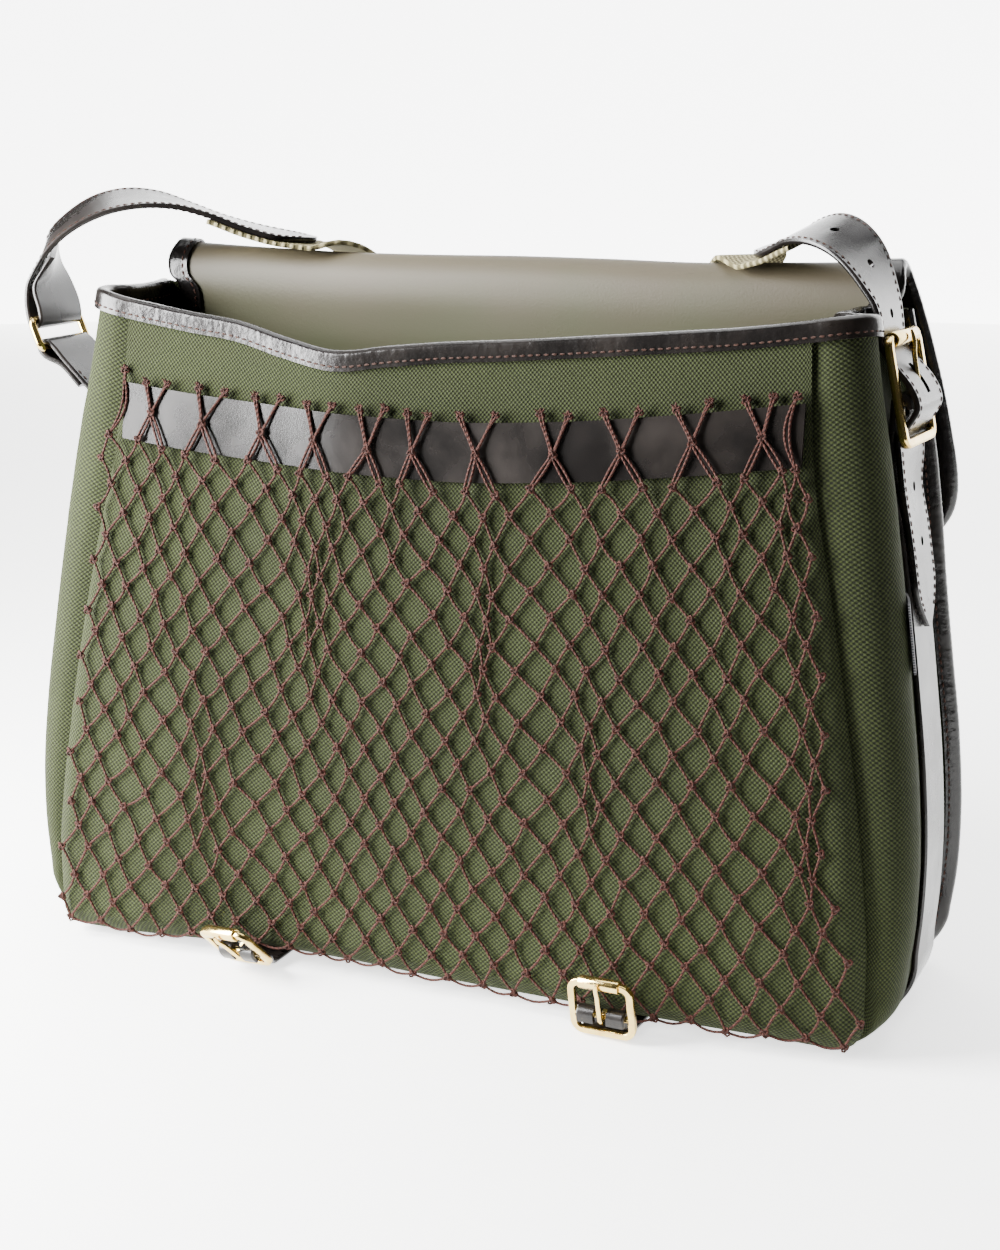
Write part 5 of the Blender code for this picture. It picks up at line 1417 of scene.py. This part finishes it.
    def tie(self, knots: list[np.ndarray]) -> None:
        """Copy the knot to every place, each turned its own way."""
        points, faces, uvs = self.knot_shape()
        vertices, all_faces = [], []
        for number, centre in enumerate(knots):
            turn = 2 * math.pi * (0.5 + 0.5 * noise.noise(Vector((number * 1.37, 0.5, 9.0))))
            size = 1.0 + 0.12 * noise.noise(Vector((number * 0.71, 3.5, 2.0)))
            cosine, sine = math.cos(turn) * size, math.sin(turn) * size
            matrix = np.array([[cosine, 0, -sine], [0, size, 0], [sine, 0, cosine]])
            vertices.append(points @ matrix + centre)
            first = number * len(points)
            all_faces += [tuple(first + corner for corner in face) for face in faces]
        piece = link_mesh("twine_knots", np.concatenate(vertices), all_faces, np.tile(uvs, (len(knots), 1)), TWINE)
        smooth(piece, 75)
        hand_over(piece, TWINE, "net")

    def build(self) -> None:
        """Make the band and the net."""
        self.band()
        self.netting()


# Straps


def smooth_path(points: Sequence[Sequence[float]], spacing: float) -> np.ndarray:
    """Curve through rows of numbers, read at about even spacing of its first three."""
    rows = np.array(points, dtype=float)
    padded = np.vstack([2 * rows[0] - rows[1], rows, 2 * rows[-1] - rows[-2]])
    steps = 12
    fine = [rows[0]]
    for index in range(1, len(padded) - 2):
        p0, p1, p2, p3 = padded[index - 1:index + 3]
        for step in range(1, steps + 1):
            t = step / steps
            fine.append(0.5 * (2 * p1 + (p2 - p0) * t + (2 * p0 - 5 * p1 + 4 * p2 - p3) * t**2
                               + (3 * p1 - p0 - 3 * p2 + p3) * t**3))
    table = np.array(fine)
    lengths = travelled_by(table[:, :3])
    count = max(2, int(round(lengths[-1] / spacing)) + 1)
    marks = np.linspace(0, lengths[-1], count)
    return np.stack([np.interp(marks, lengths, table[:, place]) for place in range(rows.shape[1])], axis=1)


def free_rows(points: Sequence[Sequence[float]], spacing: float) -> list[StrapRow]:
    """Strap rows (centre, width direction) through points (x, y, z, yaw, tilt)."""
    table = smooth_path(points, spacing)
    rows = []
    for centre, (yaw, tilt), tangent in zip(table[:, :3], np.radians(table[:, 3:5]), tangents_of(table[:, :3])):
        wanted = np.array([-math.sin(yaw) * math.cos(tilt), math.cos(yaw) * math.cos(tilt), math.sin(tilt)])
        rows.append((centre, unit(wanted - tangent * np.dot(wanted, tangent))))
    return rows


def level_rows(points: Iterable[Sequence[float]], way: np.ndarray) -> list[StrapRow]:
    """Strap rows through plain points that share one width direction."""
    return [(np.array(point, dtype=float), way) for point in points]


def angles_of(row: StrapRow) -> tuple[float, ...]:
    """Point with the yaw and tilt of a strap row, as the route tables give them."""
    centre, way = row
    return (*centre, math.degrees(math.atan2(-way[0], way[1])), math.degrees(math.asin(way[2])))


def offset_rows(rows: list[StrapRow], depth: float) -> list[StrapRow]:
    """Strap rows moved along the strap's own normals."""
    along = tangents_of([centre for centre, _ in rows])
    faces = [unit(np.cross(way, tangent)) for (_, way), tangent in zip(rows, along)]
    return [(centre + depth * face, way) for (centre, way), face in zip(rows, faces)]


def first_stretch(rows: list[StrapRow], length: float) -> list[StrapRow]:
    """The rows within a length of a strap's start."""
    marks = travelled_by(np.array([centre for centre, _ in rows]))
    return [row for row, mark in zip(rows, marks) if mark <= length]


def length_of(rows: list[StrapRow]) -> float:
    """Length of a strap along its middle line."""
    return float(travelled_by(np.array([centre for centre, _ in rows]))[-1])


@dataclass
class Strap:
    """A flat strap along rows, with eased edges, square or pointed ends, holes, a slot and sewing."""

    name: str
    node: str
    rows: list[StrapRow]
    width: float
    thickness: float
    finish: Finish
    pointed: tuple[bool, bool] = (False, False)
    holes: tuple[float, ...] = ()
    sewn: tuple[float, float] | None = None
    sewn_faces: tuple[int, ...] = (1, -1)
    step: float = 2.5
    edge_inset: float = 2.4
    tip_length: float = 22.0
    hole_radius: float = 2.2

    def fine(self) -> tuple[np.ndarray, np.ndarray, np.ndarray]:
        """Centres, width directions and distances of the filled rows."""
        centres = np.array([centre for centre, _ in self.rows])
        ways = np.array([way for _, way in self.rows])
        lengths = np.linalg.norm(np.diff(centres, axis=0), axis=1)
        centres, ways = refine(centres, self.step, lengths=lengths), refine(ways, self.step, lengths=lengths)
        return centres, unit(ways), travelled_by(centres)

    def half_width(self, mark: float, length: float) -> float:
        """Half width at a distance along the strap: full, or drawn to a blunt point near an end."""
        share = 1.0
        for left_over, pointed in zip((mark, length - mark), self.pointed):
            if pointed and left_over < self.tip_length:
                share = min(share, 0.16 + 0.84 * math.sin(math.pi / 2 * left_over / self.tip_length))
        return self.width / 2 * share

    def build(self, cutters: Sequence[bpy.types.Object] = ()) -> bpy.types.Object:
        """Make the strap, cut it and sew it."""
        centres, ways, marks = self.fine()
        tangents = tangents_of(centres)
        faces = unit(np.cross(ways, tangents))
        lip = 0.5
        half_t = self.thickness / 2
        shares = (-1.0, -0.92, -0.5, 0.0, 0.5, 0.92, 1.0)
        points, uvs = [], []
        for centre, way, face, mark in zip(centres, ways, faces, marks):
            half = self.half_width(mark, marks[-1])
            face_up = [(share * half - math.copysign(lip, share) * (abs(share) == 1.0), half_t)
                       for share in shares]
            ring = face_up + [(half, 0.45 * half_t), (half, -0.45 * half_t)]
            ring += [(across, -out) for across, out in face_up[::-1]]
            ring += [(-half, -0.45 * half_t), (-half, 0.45 * half_t)]
            for across, out in ring:
                points.append(centre + across * way + out * face)
                uvs.append((across * MM, mark * MM))
        columns = len(ring)
        quads = grid_faces(len(centres), columns, closed=True)
        last = (len(centres) - 1) * columns
        quads += [tuple(range(columns))[::-1], tuple(range(last, last + columns))]
        piece = link_mesh(self.name, np.array(points), quads, np.array(uvs), self.finish)
        take(piece)
        with all_in_edit_mode():
            bpy.ops.mesh.normals_make_consistent(inside=False)
        for cutter in [*cutters, *self.punches(centres, faces, marks)]:
            combine(piece, cutter, "DIFFERENCE")
        smooth(piece, 50)
        hand_over(piece, self.finish, self.node)
        if self.sewn:
            self.sew(centres, ways, faces, marks)
        return piece

    def punches(self, centres: np.ndarray, faces: np.ndarray, marks: np.ndarray) -> list[bpy.types.Object]:
        """Round cutters for the strap's holes."""
        made = []
        for distance in self.holes:
            centre = Vector(read_at(distance, marks, centres))
            face = Vector(faces[int(np.searchsorted(marks, distance))])
            deselect()
            bpy.ops.mesh.primitive_cylinder_add(vertices=18, radius=self.hole_radius * MM, depth=9 * MM,
                                                location=centre * MM,
                                                rotation=face.to_track_quat("Z", "Y").to_euler())
            made.append(bpy.context.object)
        return made

    def sew(self, centres: np.ndarray, ways: np.ndarray, faces: np.ndarray, marks: np.ndarray) -> None:
        """Sewing along both edges, on the faces that carry it."""
        start, end = self.sewn
        keep = (marks >= start) & (marks <= end)
        lines = []
        for out in self.sewn_faces:
            for side in (-1, 1):
                halves = np.array([self.half_width(mark, marks[-1]) for mark in marks])
                inset = np.maximum(halves - self.edge_inset, 0.8)[:, None]
                line = centres + side * inset * ways + out * (self.thickness / 2 + 0.12) * faces
                lines.append((line[keep], out * faces[keep]))
        STITCHER.sew(f"{self.name}_stitches", lines)


# Brass


def wire(name: str, points: Sequence[Sequence[float]], radius: float, cyclic: bool,
         thin: Sequence[float] | None = None) -> bpy.types.Object:
    """Round brass wire along points in millimetres: a bevelled curve turned into a mesh.

    Args:
        name: the piece's name.
        points: places in millimetres.
        radius: the wire's radius.
        cyclic: whether it closes on itself.
        thin: share of the radius at each point.

    Returns:
        The wire as a mesh object.
    """
    data = bpy.data.curves.new(name, "CURVE")
    data.dimensions = "3D"
    data.bevel_depth = radius * MM
    data.bevel_resolution = 4
    data.use_fill_caps = True
    spline = data.splines.new("POLY")
    spline.points.add(len(points) - 1)
    for number, (knot, point) in enumerate(zip(spline.points, points)):
        knot.co = (*(Vector(point) * MM), 1.0)
        knot.radius = thin[number] if thin else 1.0
    spline.use_cyclic_u = cyclic
    piece = bpy.data.objects.new(name, data)
    bpy.context.scene.collection.objects.link(piece)
    take(piece)
    bpy.ops.object.convert(target="MESH")
    piece = bpy.context.object
    with all_in_edit_mode():
        bpy.ops.mesh.remove_doubles(threshold=0.00001)
        bpy.ops.mesh.normals_make_consistent(inside=False)
    return piece


def dress(piece: bpy.types.Object, finish: Finish) -> None:
    """Give a piece one material."""
    piece.data.materials.clear()
    piece.data.materials.append(finish.material())


@dataclass
class Buckle:
    """A roller buckle with a centre bar, in its own axes: X across, Z towards the roller, -Y outwards."""

    name: str
    place: tuple[float, float, float]
    turn: tuple[float, float, float]
    width: float
    height: float
    wire: float
    bar: float
    corner: float = 6.2

    def __post_init__(self) -> None:
        """Work out the sizes that follow from the wire."""
        euler = Euler([math.radians(angle) for angle in self.turn])
        self.matrix = Matrix.Translation(Vector(self.place)) @ euler.to_matrix().to_4x4()
        self.bar_radius = self.wire * 0.85
        self.roller_radius = self.wire + GAP + 1.1
        self.top = self.height / 2 - self.wire
        self.width_way = np.array(euler.to_matrix().col[0])

    def world(self, across: float, out: float, up: float) -> tuple[float, float, float]:
        """World point, in millimetres, of a point in the buckle's axes."""
        return tuple(self.matrix @ Vector((across, out, up)))

    def route(self, local: Iterable[tuple[float, float]]) -> list[StrapRow]:
        """Strap rows through places (out, up) on the buckle's middle line."""
        return level_rows([self.world(0.0, out, up) for out, up in local], self.width_way)

    def wrap(self, leather: float, entry: float) -> list[StrapRow]:
        """Rows of a leather end that comes up behind the frame and folds over the bar."""
        radius = self.bar_radius + GAP + leather / 2
        local = [(entry, -self.top), (0.5 * (entry + radius), 0.5 * (self.bar - self.top))]
        for step in range(7):
            turn = math.radians(30 * step)
            local.append((radius * math.cos(turn), self.bar + radius * math.sin(turn)))
        local.append((-radius, self.bar - 3.0))
        return self.route(local)

    def slot_cutter(self, size: tuple[float, float, float], out: float, up: float) -> bpy.types.Object:
        """Box that cuts a prong's slot through a strap."""
        deselect()
        bpy.ops.mesh.primitive_cube_add(size=1.0)
        cutter = bpy.context.object
        cutter.scale = Vector(size) * MM
        settle(cutter)
        middle = Matrix.Translation(Vector(self.world(0.0, out, up)) * MM)
        cutter.matrix_world = middle @ self.matrix.to_3x3().to_4x4()
        return cutter

    def seat(self, piece: bpy.types.Object, node: str) -> None:
        """Turn a piece made in the buckle's axes to its place and hand it over."""
        piece.matrix_world = Matrix.Translation(self.matrix.translation * MM) @ self.matrix.to_3x3().to_4x4()
        settle(piece)
        dress(piece, BRASS)
        smooth(piece, 42)
        hand_over(piece, BRASS, node)

    def frame_piece(self) -> None:
        """Cast frame: a plate with rounded corners, opened, thickened and eased, and its centre bar."""
        deselect()
        bpy.ops.mesh.primitive_plane_add(size=1.0, rotation=(math.pi / 2, 0, 0))
        piece = bpy.context.object
        piece.name = f"brass_{self.name}_frame"
        settle(piece)
        thick = 1.8 * self.wire
        with all_in_edit_mode():
            bpy.ops.transform.resize(value=(self.width * MM, 1.0, self.height * MM))
            bpy.ops.mesh.bevel(offset=self.corner * MM, segments=8, affect="VERTICES")
            bpy.ops.mesh.select_all(action="SELECT")
            bpy.ops.mesh.inset(thickness=2 * self.wire * MM)
            bpy.ops.mesh.delete(type="FACE")
            bpy.ops.mesh.select_all(action="SELECT")
            bpy.ops.mesh.extrude_region_move(TRANSFORM_OT_translate={"value": (0, thick * MM, 0)})
            bpy.ops.mesh.select_all(action="SELECT")
            bpy.ops.transform.translate(value=(0, -0.5 * thick * MM, 0))
            bpy.ops.mesh.normals_make_consistent(inside=False)
        ease_edges(piece, 0.42 * self.wire, 3)
        deselect()
        bpy.ops.mesh.primitive_cylinder_add(vertices=20, radius=self.bar_radius * MM,
                                            depth=(self.width - 2 * self.wire) * MM,
                                            location=(0, 0, self.bar * MM), rotation=(0, math.pi / 2, 0))
        combine(piece, bpy.context.object, "UNION")
        self.seat(piece, f"{self.name}_frame")

    def roller_piece(self) -> None:
        """Loose sleeve round the frame's top bar."""
        length = self.width - 2 * self.wire - 9.6
        deselect()
        bpy.ops.mesh.primitive_cylinder_add(vertices=28, radius=self.roller_radius * MM, depth=length * MM,
                                            rotation=(0, math.pi / 2, 0))
        piece = bpy.context.object
        piece.name = f"brass_{self.name}_roller"
        settle(piece)
        with all_in_edit_mode():
            pick_faces(piece, lambda face: abs(face.normal.x) > 0.9)
            bpy.ops.mesh.inset(thickness=1.0 * MM, use_individual=True)
            bpy.ops.mesh.bridge_edge_loops()
            bpy.ops.mesh.select_all(action="SELECT")
            bpy.ops.mesh.normals_make_consistent(inside=False)
            bpy.ops.transform.translate(value=(0, 0, self.top * MM))
        ease_edges(piece, 0.3, 2)
        self.seat(piece, f"{self.name}_roller")

    def prong_piece(self) -> None:
        """Prong hooked round the centre bar, its tip resting on the roller."""
        radius = 1.2
        hook = self.bar_radius + GAP + radius
        points = []
        for degrees in range(20, -185, -18):
            turn = math.radians(degrees)
            points.append((0.0, hook * math.cos(turn), self.bar + hook * math.sin(turn)))
        rest = self.roller_radius + GAP + radius
        path = [(0.0, -hook - 0.4, self.bar + 0.3 * (self.top - self.bar)),
                (0.0, -0.5 * (hook + rest), self.bar + 0.7 * (self.top - self.bar)),
                (0.0, -rest, self.top), (0.0, -rest + 0.4, self.top + 2.6)]
        line = np.vstack([points, refine(np.array([points[-1], *path]), 1.5)[1:]])
        thin = list(np.interp(np.linspace(0, 1, len(line)), (0, 0.5, 0.9, 1.0), (1.0, 1.1, 0.9, 0.5)))
        piece = wire(f"brass_{self.name}_prong", line, radius, False, thin)
        self.seat(piece, f"{self.name}_prong")

    def build(self) -> None:
        """Make the frame, roller and prong."""
        self.frame_piece()
        self.roller_piece()
        self.prong_piece()


@dataclass
class Harness:
    """Straps, ring, chapes and buckles."""

    body: Body
    flap: Flap
    overlaps: tuple[float, float] = (55.0, 42.0)
    sewn_gap: float = 0.6
    return_rows: int = 6
    near_rows: int = 8
    tail_heights: tuple[float, ...] = (250, 230, 208, 186)
    hole_places: tuple[float, ...] = (54.0, 78.0, 101.5, 186.0, 211.0)
    ring_top: tuple[float, float, float] = (-241.5, 2.0, 306.0)
    ring_bottom: tuple[float, float, float] = (-236.0, 2.0, 292.0)
    ring_width: float = 42.0
    ring_wire: float = 1.9
    side_buckle: Buckle = field(default_factory=lambda: Buckle(
        "side_buckle", (202.5, 8.0, 291.0), (-12.0, 0.0, 86.0), 46.0, 50.0, 2.1, -5.0))
    bottom_buckles: tuple[Buckle, ...] = field(default_factory=lambda: (
        Buckle("bottom_buckle_right", (95.0, -86.5, 15.4), (8.0, -2.0, -6.5), 33.0, 28.0, 1.7, -3.5),
        Buckle("bottom_buckle_left", (-93.0, -88.0, 16.5), (42.0, -8.0, -17.0), 33.0, 28.0, 1.7, -3.5)))

    def laid_rows(self, side: int, heights: Sequence[float], clearance: float, y: float) -> list[StrapRow]:
        """Rows of a strap lying on the gusset's middle, a clearance off its face."""
        points = []
        for height in heights:
            station = self.body.side_station(height, side)
            points.append(station.at(station.profile[9][0] - clearance, y))
        return level_rows(points, DEPTHWAYS)

    def side_strap_rows(self, side: int, clearance: float) -> list[StrapRow]:
        """Rows of a side strap down the gusset and round the start of the base corner."""
        rows = self.laid_rows(side, self.body.side_heights[3:], clearance, STRAP_Y)
        points = []
        for degrees in self.body.corner_turns[:3]:
            station = self.body.corner_station(degrees, side)
            points.append(station.at(station.profile[9][0] - clearance, STRAP_Y))
        return rows + level_rows(points, DEPTHWAYS)

    def right_rows(self) -> list[StrapRow]:
        """Whole route of the right leather end: arc, through the buckle, and the tail on the side strap."""
        buckle = self.side_buckle
        half = STRAP_LEATHER / 2
        behind_top = buckle.roller_radius + GAP + half
        over_bar = buckle.bar_radius + 2 * GAP + STRAP_LEATHER + GAP + half
        behind_foot = buckle.wire + GAP + half
        local = ((behind_top, buckle.top), (0.35 * behind_top, buckle.top - 9), (-over_bar + 1.2, buckle.bar + 6),
                 (-over_bar - 0.3, buckle.bar + 1.5), (-over_bar - 0.3, buckle.bar - 3.5),
                 (-over_bar + 3.6, buckle.bar - 8.5), (behind_foot + 0.4, -buckle.top + 1.4),
                 (behind_foot + 0.9, -buckle.top - 4.0))
        through_buckle = buckle.route(local)
        arc = free_rows([*STRAP_RIGHT_ROUTE, angles_of(through_buckle[0])], 8.0)
        clearance = 2 * GAP + 1.5 * STRAP_LEATHER + GAP
        return arc[:-1] + through_buckle + self.laid_rows(1, self.tail_heights, clearance, STRAP_Y + 1)

    def ring_loop(self, centre: Sequence[float], start: float, end: float) -> list[StrapRow]:
        """Rows of a leather loop round a ring's bar, between two angles in the XZ plane."""
        radius = self.ring_wire + GAP + STRAP_LEATHER / 2
        points = []
        for step in range(7):
            turn = math.radians(start + (end - start) * step / 6)
            points.append((centre[0] + radius * math.cos(turn), centre[1], centre[2] + radius * math.sin(turn)))
        return level_rows(points, DEPTHWAYS)

    def ring(self) -> None:
        """Brass loop between the left side strap and the shoulder strap."""
        top, bottom = Vector(self.ring_top), Vector(self.ring_bottom)
        middle, rise = (top + bottom) / 2, top - bottom
        up = rise.normalized()
        outline = []
        for side_x, side_z, first in ((1, 1, 0), (-1, 1, 90), (-1, -1, 180), (1, -1, 270)):
            for step in range(9):
                turn = math.radians(first + 90 * step / 8)
                outline.append((side_x * (self.ring_width / 2 - 3.0) + 3.0 * math.cos(turn),
                                side_z * (rise.length / 2 - 3.0) + 3.0 * math.sin(turn)))
        points = [tuple(middle + Vector((0, 1, 0)) * across + up * along) for across, along in outline]
        piece = wire("brass_strap_ring", points, self.ring_wire, True)
        dress(piece, BRASS)
        smooth(piece)
        hand_over(piece, BRASS, "strap_ring")

    def shoulder_strap(self) -> None:
        """Left leather end, webbing, and right leather end with its holes and free tail."""
        arc = free_rows(STRAP_LEFT_ROUTE, 6.0)
        loop = self.ring_loop(self.ring_top, 180, 360)
        end, way = loop[-1]
        lead = [(end + np.array([-0.3, 0.0, 4.0]), way)]
        back = offset_rows(arc, -(STRAP_LEATHER + 2 * self.sewn_gap))[-self.return_rows:-2][::-1]
        left = arc + loop + lead + back
        Strap("leather_strap_end_left", "strap_end_left", left, STRAP_WIDTH, STRAP_LEATHER, LEATHER,
              pointed=(True, False), sewn=(5.0, length_of(arc))).build()
        right = self.right_rows()
        slot = self.side_buckle.slot_cutter((4.6, 16.0, 14.0), -3.6, self.side_buckle.bar + 9)
        Strap("leather_strap_end_right", "strap_end_right", right, STRAP_WIDTH, STRAP_LEATHER, LEATHER,
              pointed=(True, True), holes=self.hole_places, sewn=(5.0, length_of(right) - 5.0)).build([slot])
        depth = (STRAP_LEATHER + WEBBING_WALL) / 2 + self.sewn_gap
        under_left = offset_rows(first_stretch(left, self.overlaps[0]), -depth)[::-1]
        under_right = offset_rows(first_stretch(right, self.overlaps[1]), depth)
        fine = free_rows([angles_of(under_left[-1]), *WEBBING_ROUTE, angles_of(under_right[0])], 8.0)
        near = self.near_rows
        middle = fine[1:near] + fine[near:-near:3] + fine[-near:-1]
        Strap("cotton_strap_webbing", "strap_webbing", under_left + middle + under_right, STRAP_WIDTH - 1,
              WEBBING_WALL, WEBBING, step=4.0).build()

    def side_straps(self) -> None:
        """Side straps sewn down the gusset, folded round the buckle's bar or the ring."""
        buckle = self.side_buckle
        clearance = GAP + STRAP_LEATHER / 2
        rows = buckle.wrap(STRAP_LEATHER, buckle.wire + 2 * GAP + 1.9 * STRAP_LEATHER)[::-1]
        rows += self.side_strap_rows(1, clearance)
        slot = buckle.slot_cutter((6.5, 14.0, 13.0), -1.2, buckle.bar - 0.5)
        Strap("leather_side_strap_right", "side_strap_right", rows, STRAP_WIDTH, STRAP_LEATHER, LEATHER,
              sewn=(45.0, length_of(rows)), sewn_faces=(1,)).build([slot])
        laid = self.side_strap_rows(-1, clearance)
        foot, bar = laid[0][0], np.array(self.ring_bottom)
        lean = math.degrees(math.atan2(bar[2] - foot[2], bar[0] - foot[0]))
        loop = self.ring_loop(self.ring_bottom, lean + 90, lean - 90)
        near = loop[-1][0]
        lead = level_rows([near + share * (foot - near) for share in (0.25, 0.55, 0.85)], DEPTHWAYS)
        outer = offset_rows(loop[-1:] + lead, STRAP_LEATHER + GAP + 0.2)[1:3]
        rows = outer[::-1] + loop + lead + laid
        Strap("leather_side_strap_left", "side_strap_left", rows, STRAP_WIDTH, STRAP_LEATHER, LEATHER,
              sewn=(55.0, length_of(rows)), sewn_faces=(-1,)).build()

    def chapes(self) -> None:
        """Leather tabs from under the base, folded round the bottom buckles' bars."""
        half = CLOSING_STRAP_WIDTH / 2
        feet = np.linspace(-self.body.corner_x, self.body.corner_x, self.body.base_count)
        for buckle in self.bottom_buckles:
            x = buckle.place[0]
            lifts = np.interp((x - half, x + half), feet, [base_lift(float(foot)) for foot in feet])
            low = float(min(lifts)) - GAP - CHAPE_LEATHER / 2
            rows = level_rows([(x, -50, low), (x, -63, low), (x, -72, low + 0.5)], SIDEWAYS)
            rows += buckle.wrap(CHAPE_LEATHER, buckle.wire + GAP + CHAPE_LEATHER / 2)
            name = buckle.name.replace("buckle", "chape")
            slot = buckle.slot_cutter((6.5, 12.0, 11.0), -1.0, buckle.bar - 0.4)
            Strap(f"leather_{name}", name, rows, CLOSING_STRAP_WIDTH, CHAPE_LEATHER, LEATHER,
                  step=1.5).build([slot])

    def closing_straps(self) -> None:
        """Straps sewn on the flap's canvas face, hanging from its free edge behind the bag."""
        depth = LINING_WALL + CANVAS_WALL + 2 * GAP + CHAPE_LEATHER / 2 + 2.2
        for name, x in (("closing_strap_left", -CLOSING_STRAP_X), ("closing_strap_right", CLOSING_STRAP_X)):
            rows = [self.flap.point(row, x / row[2], depth) for row in self.flap.profile()[9:]]
            foot = rows[-1][1] - 1.0
            hanging = [(x, foot - 0.6, 170), (x, foot, 120), (x, foot + 1, 60), (x, foot + 2.5, 26),
                       (x, foot + 3, 20), (x, foot + 3.5, 14)]
            path = level_rows(rows[:4] + rows[-1:] + hanging, SIDEWAYS)
            Strap(f"leather_{name}", name, path, CLOSING_STRAP_WIDTH, CHAPE_LEATHER, LEATHER,
                  pointed=(False, True), sewn=(3.0, length_of(path) - 5.0), edge_inset=2.8).build()

    def label(self) -> None:
        """Blank woven tab sewn in beside the right side strap."""
        edge_y = STRAP_Y - STRAP_WIDTH / 2 - 0.8
        rows = []
        for height in np.linspace(172, 203, 12):
            root = BODY["side_x"](height) - BODY["pinch_right"](height) + 1.0
            rows.append([(root + share * 6.5 + 0.7 * math.sin(math.pi * share), edge_y - share * 23, height)
                         for share in np.linspace(1, 0, 10)])
        piece = cloth("woven_side_label", np.array(rows), 0.9, TAB)
        hand_over(piece, TAB, "side_label")

    def build(self) -> None:
        """Make every strap and its brass."""
        self.shoulder_strap()
        self.side_straps()
        self.ring()
        self.chapes()
        self.closing_straps()
        self.label()
        for buckle in (self.side_buckle, *self.bottom_buckles):
            buckle.build()


# Studio


@dataclass
class Studio:
    """Light table, lit screen, soft lights and the camera at the photograph's angle, in metres."""

    azimuth: float = 22.9
    elevation: float = 13.6
    distance: float = 1.07
    target: tuple[float, float, float] = (0.0084, 0.0, 0.1665)
    lens: float = 63.36
    screen_front: float = 2.2
    screen_radius: float = 3.2
    screen_depth: float = 6.0
    table_front: float = -0.36
    room_light: float = 0.06

    def camera(self) -> None:
        """Camera that looks at the bag from front right, a little above."""
        side, rise = math.radians(self.azimuth), math.radians(self.elevation)
        back = Vector((math.sin(side) * math.cos(rise), -math.cos(side) * math.cos(rise), math.sin(rise)))
        data = bpy.data.cameras.new("view")
        data.lens = self.lens
        data.sensor_width = 36.0
        data.sensor_fit = "AUTO"
        data.clip_start = 0.01
        camera = bpy.data.objects.new("view", data)
        bpy.context.scene.collection.objects.link(camera)
        camera.location = Vector(self.target) + back * self.distance
        camera.rotation_euler = back.to_track_quat("Z", "Y").to_euler()
        bpy.context.scene.camera = camera

    def floor(self) -> None:
        """Sheet of studio paper that ends a little before the bag, so that the dark room shows in the leather."""
        deselect()
        bpy.ops.mesh.primitive_plane_add(size=1.0)
        floor = bpy.context.object
        floor.name = "studio_floor"
        with all_in_edit_mode():
            bpy.ops.transform.resize(value=(2 * self.screen_radius, self.screen_radius - self.table_front, 1.0))
            bpy.ops.transform.translate(value=(0, 0.5 * (self.screen_radius + self.table_front), 0))
            bpy.ops.mesh.inset(thickness=0.1)
        dress(floor, PAPER)

    def light(self, name: str, azimuth: float, elevation: float, away: float, size: tuple[float, float],
              power: float) -> None:
        """Soft box that faces the bag."""
        side, rise = math.radians(azimuth), math.radians(elevation)
        way = Vector((math.sin(side) * math.cos(rise), -math.cos(side) * math.cos(rise), math.sin(rise)))
        data = bpy.data.lights.new(name, "AREA")
        data.shape = "RECTANGLE"
        data.size, data.size_y = size
        data.energy = power
        lamp = bpy.data.objects.new(name, data)
        bpy.context.scene.collection.objects.link(lamp)
        lamp.location = Vector((0, 0, 0.17)) + way * away
        lamp.rotation_euler = way.to_track_quat("Z", "Y").to_euler()

    def backdrop(self) -> None:
        """Bright curved screen behind the bag, open towards the camera."""
        deselect()
        bpy.ops.mesh.primitive_cylinder_add(vertices=96, radius=self.screen_radius, depth=self.screen_depth,
                                            end_fill_type="NOTHING")
        screen = bpy.context.object
        screen.name = "studio_backdrop"
        with all_in_edit_mode():
            pick_faces(screen, lambda face: face.calc_center_median().y < self.screen_front)
            bpy.ops.mesh.delete(type="FACE")
        dress(screen, SCREEN)

    def build(self) -> None:
        """Set the stage."""
        self.floor()
        self.backdrop()
        self.light("key", -58.0, 18.0, 0.9, (0.5, 0.8), 95.0)
        self.light("top", 170.0, 80.0, 2.4, (2.6, 2.2), 105.0)
        world = bpy.data.worlds.new("studio")
        bpy.context.scene.world = world
        world.use_nodes = True
        room = world.node_tree.nodes["Background"]
        room.inputs["Color"].default_value = linear("#ffffff")
        room.inputs["Strength"].default_value = self.room_light
        self.camera()


def main() -> None:
    """Build the bag piece by piece, then the studio."""
    logging.basicConfig(level=logging.INFO, format="%(message)s")
    deselect()
    body = Body()
    flap = Flap()
    body.front_panel()
    body.gusset()
    body.back_panel()
    flap.canvas()
    flap.lining(body)
    Bindings(body, flap).build()
    NetPocket().build()
    Harness(body, flap).build()
    Studio().build()


if __name__ == "__main__":
    main()
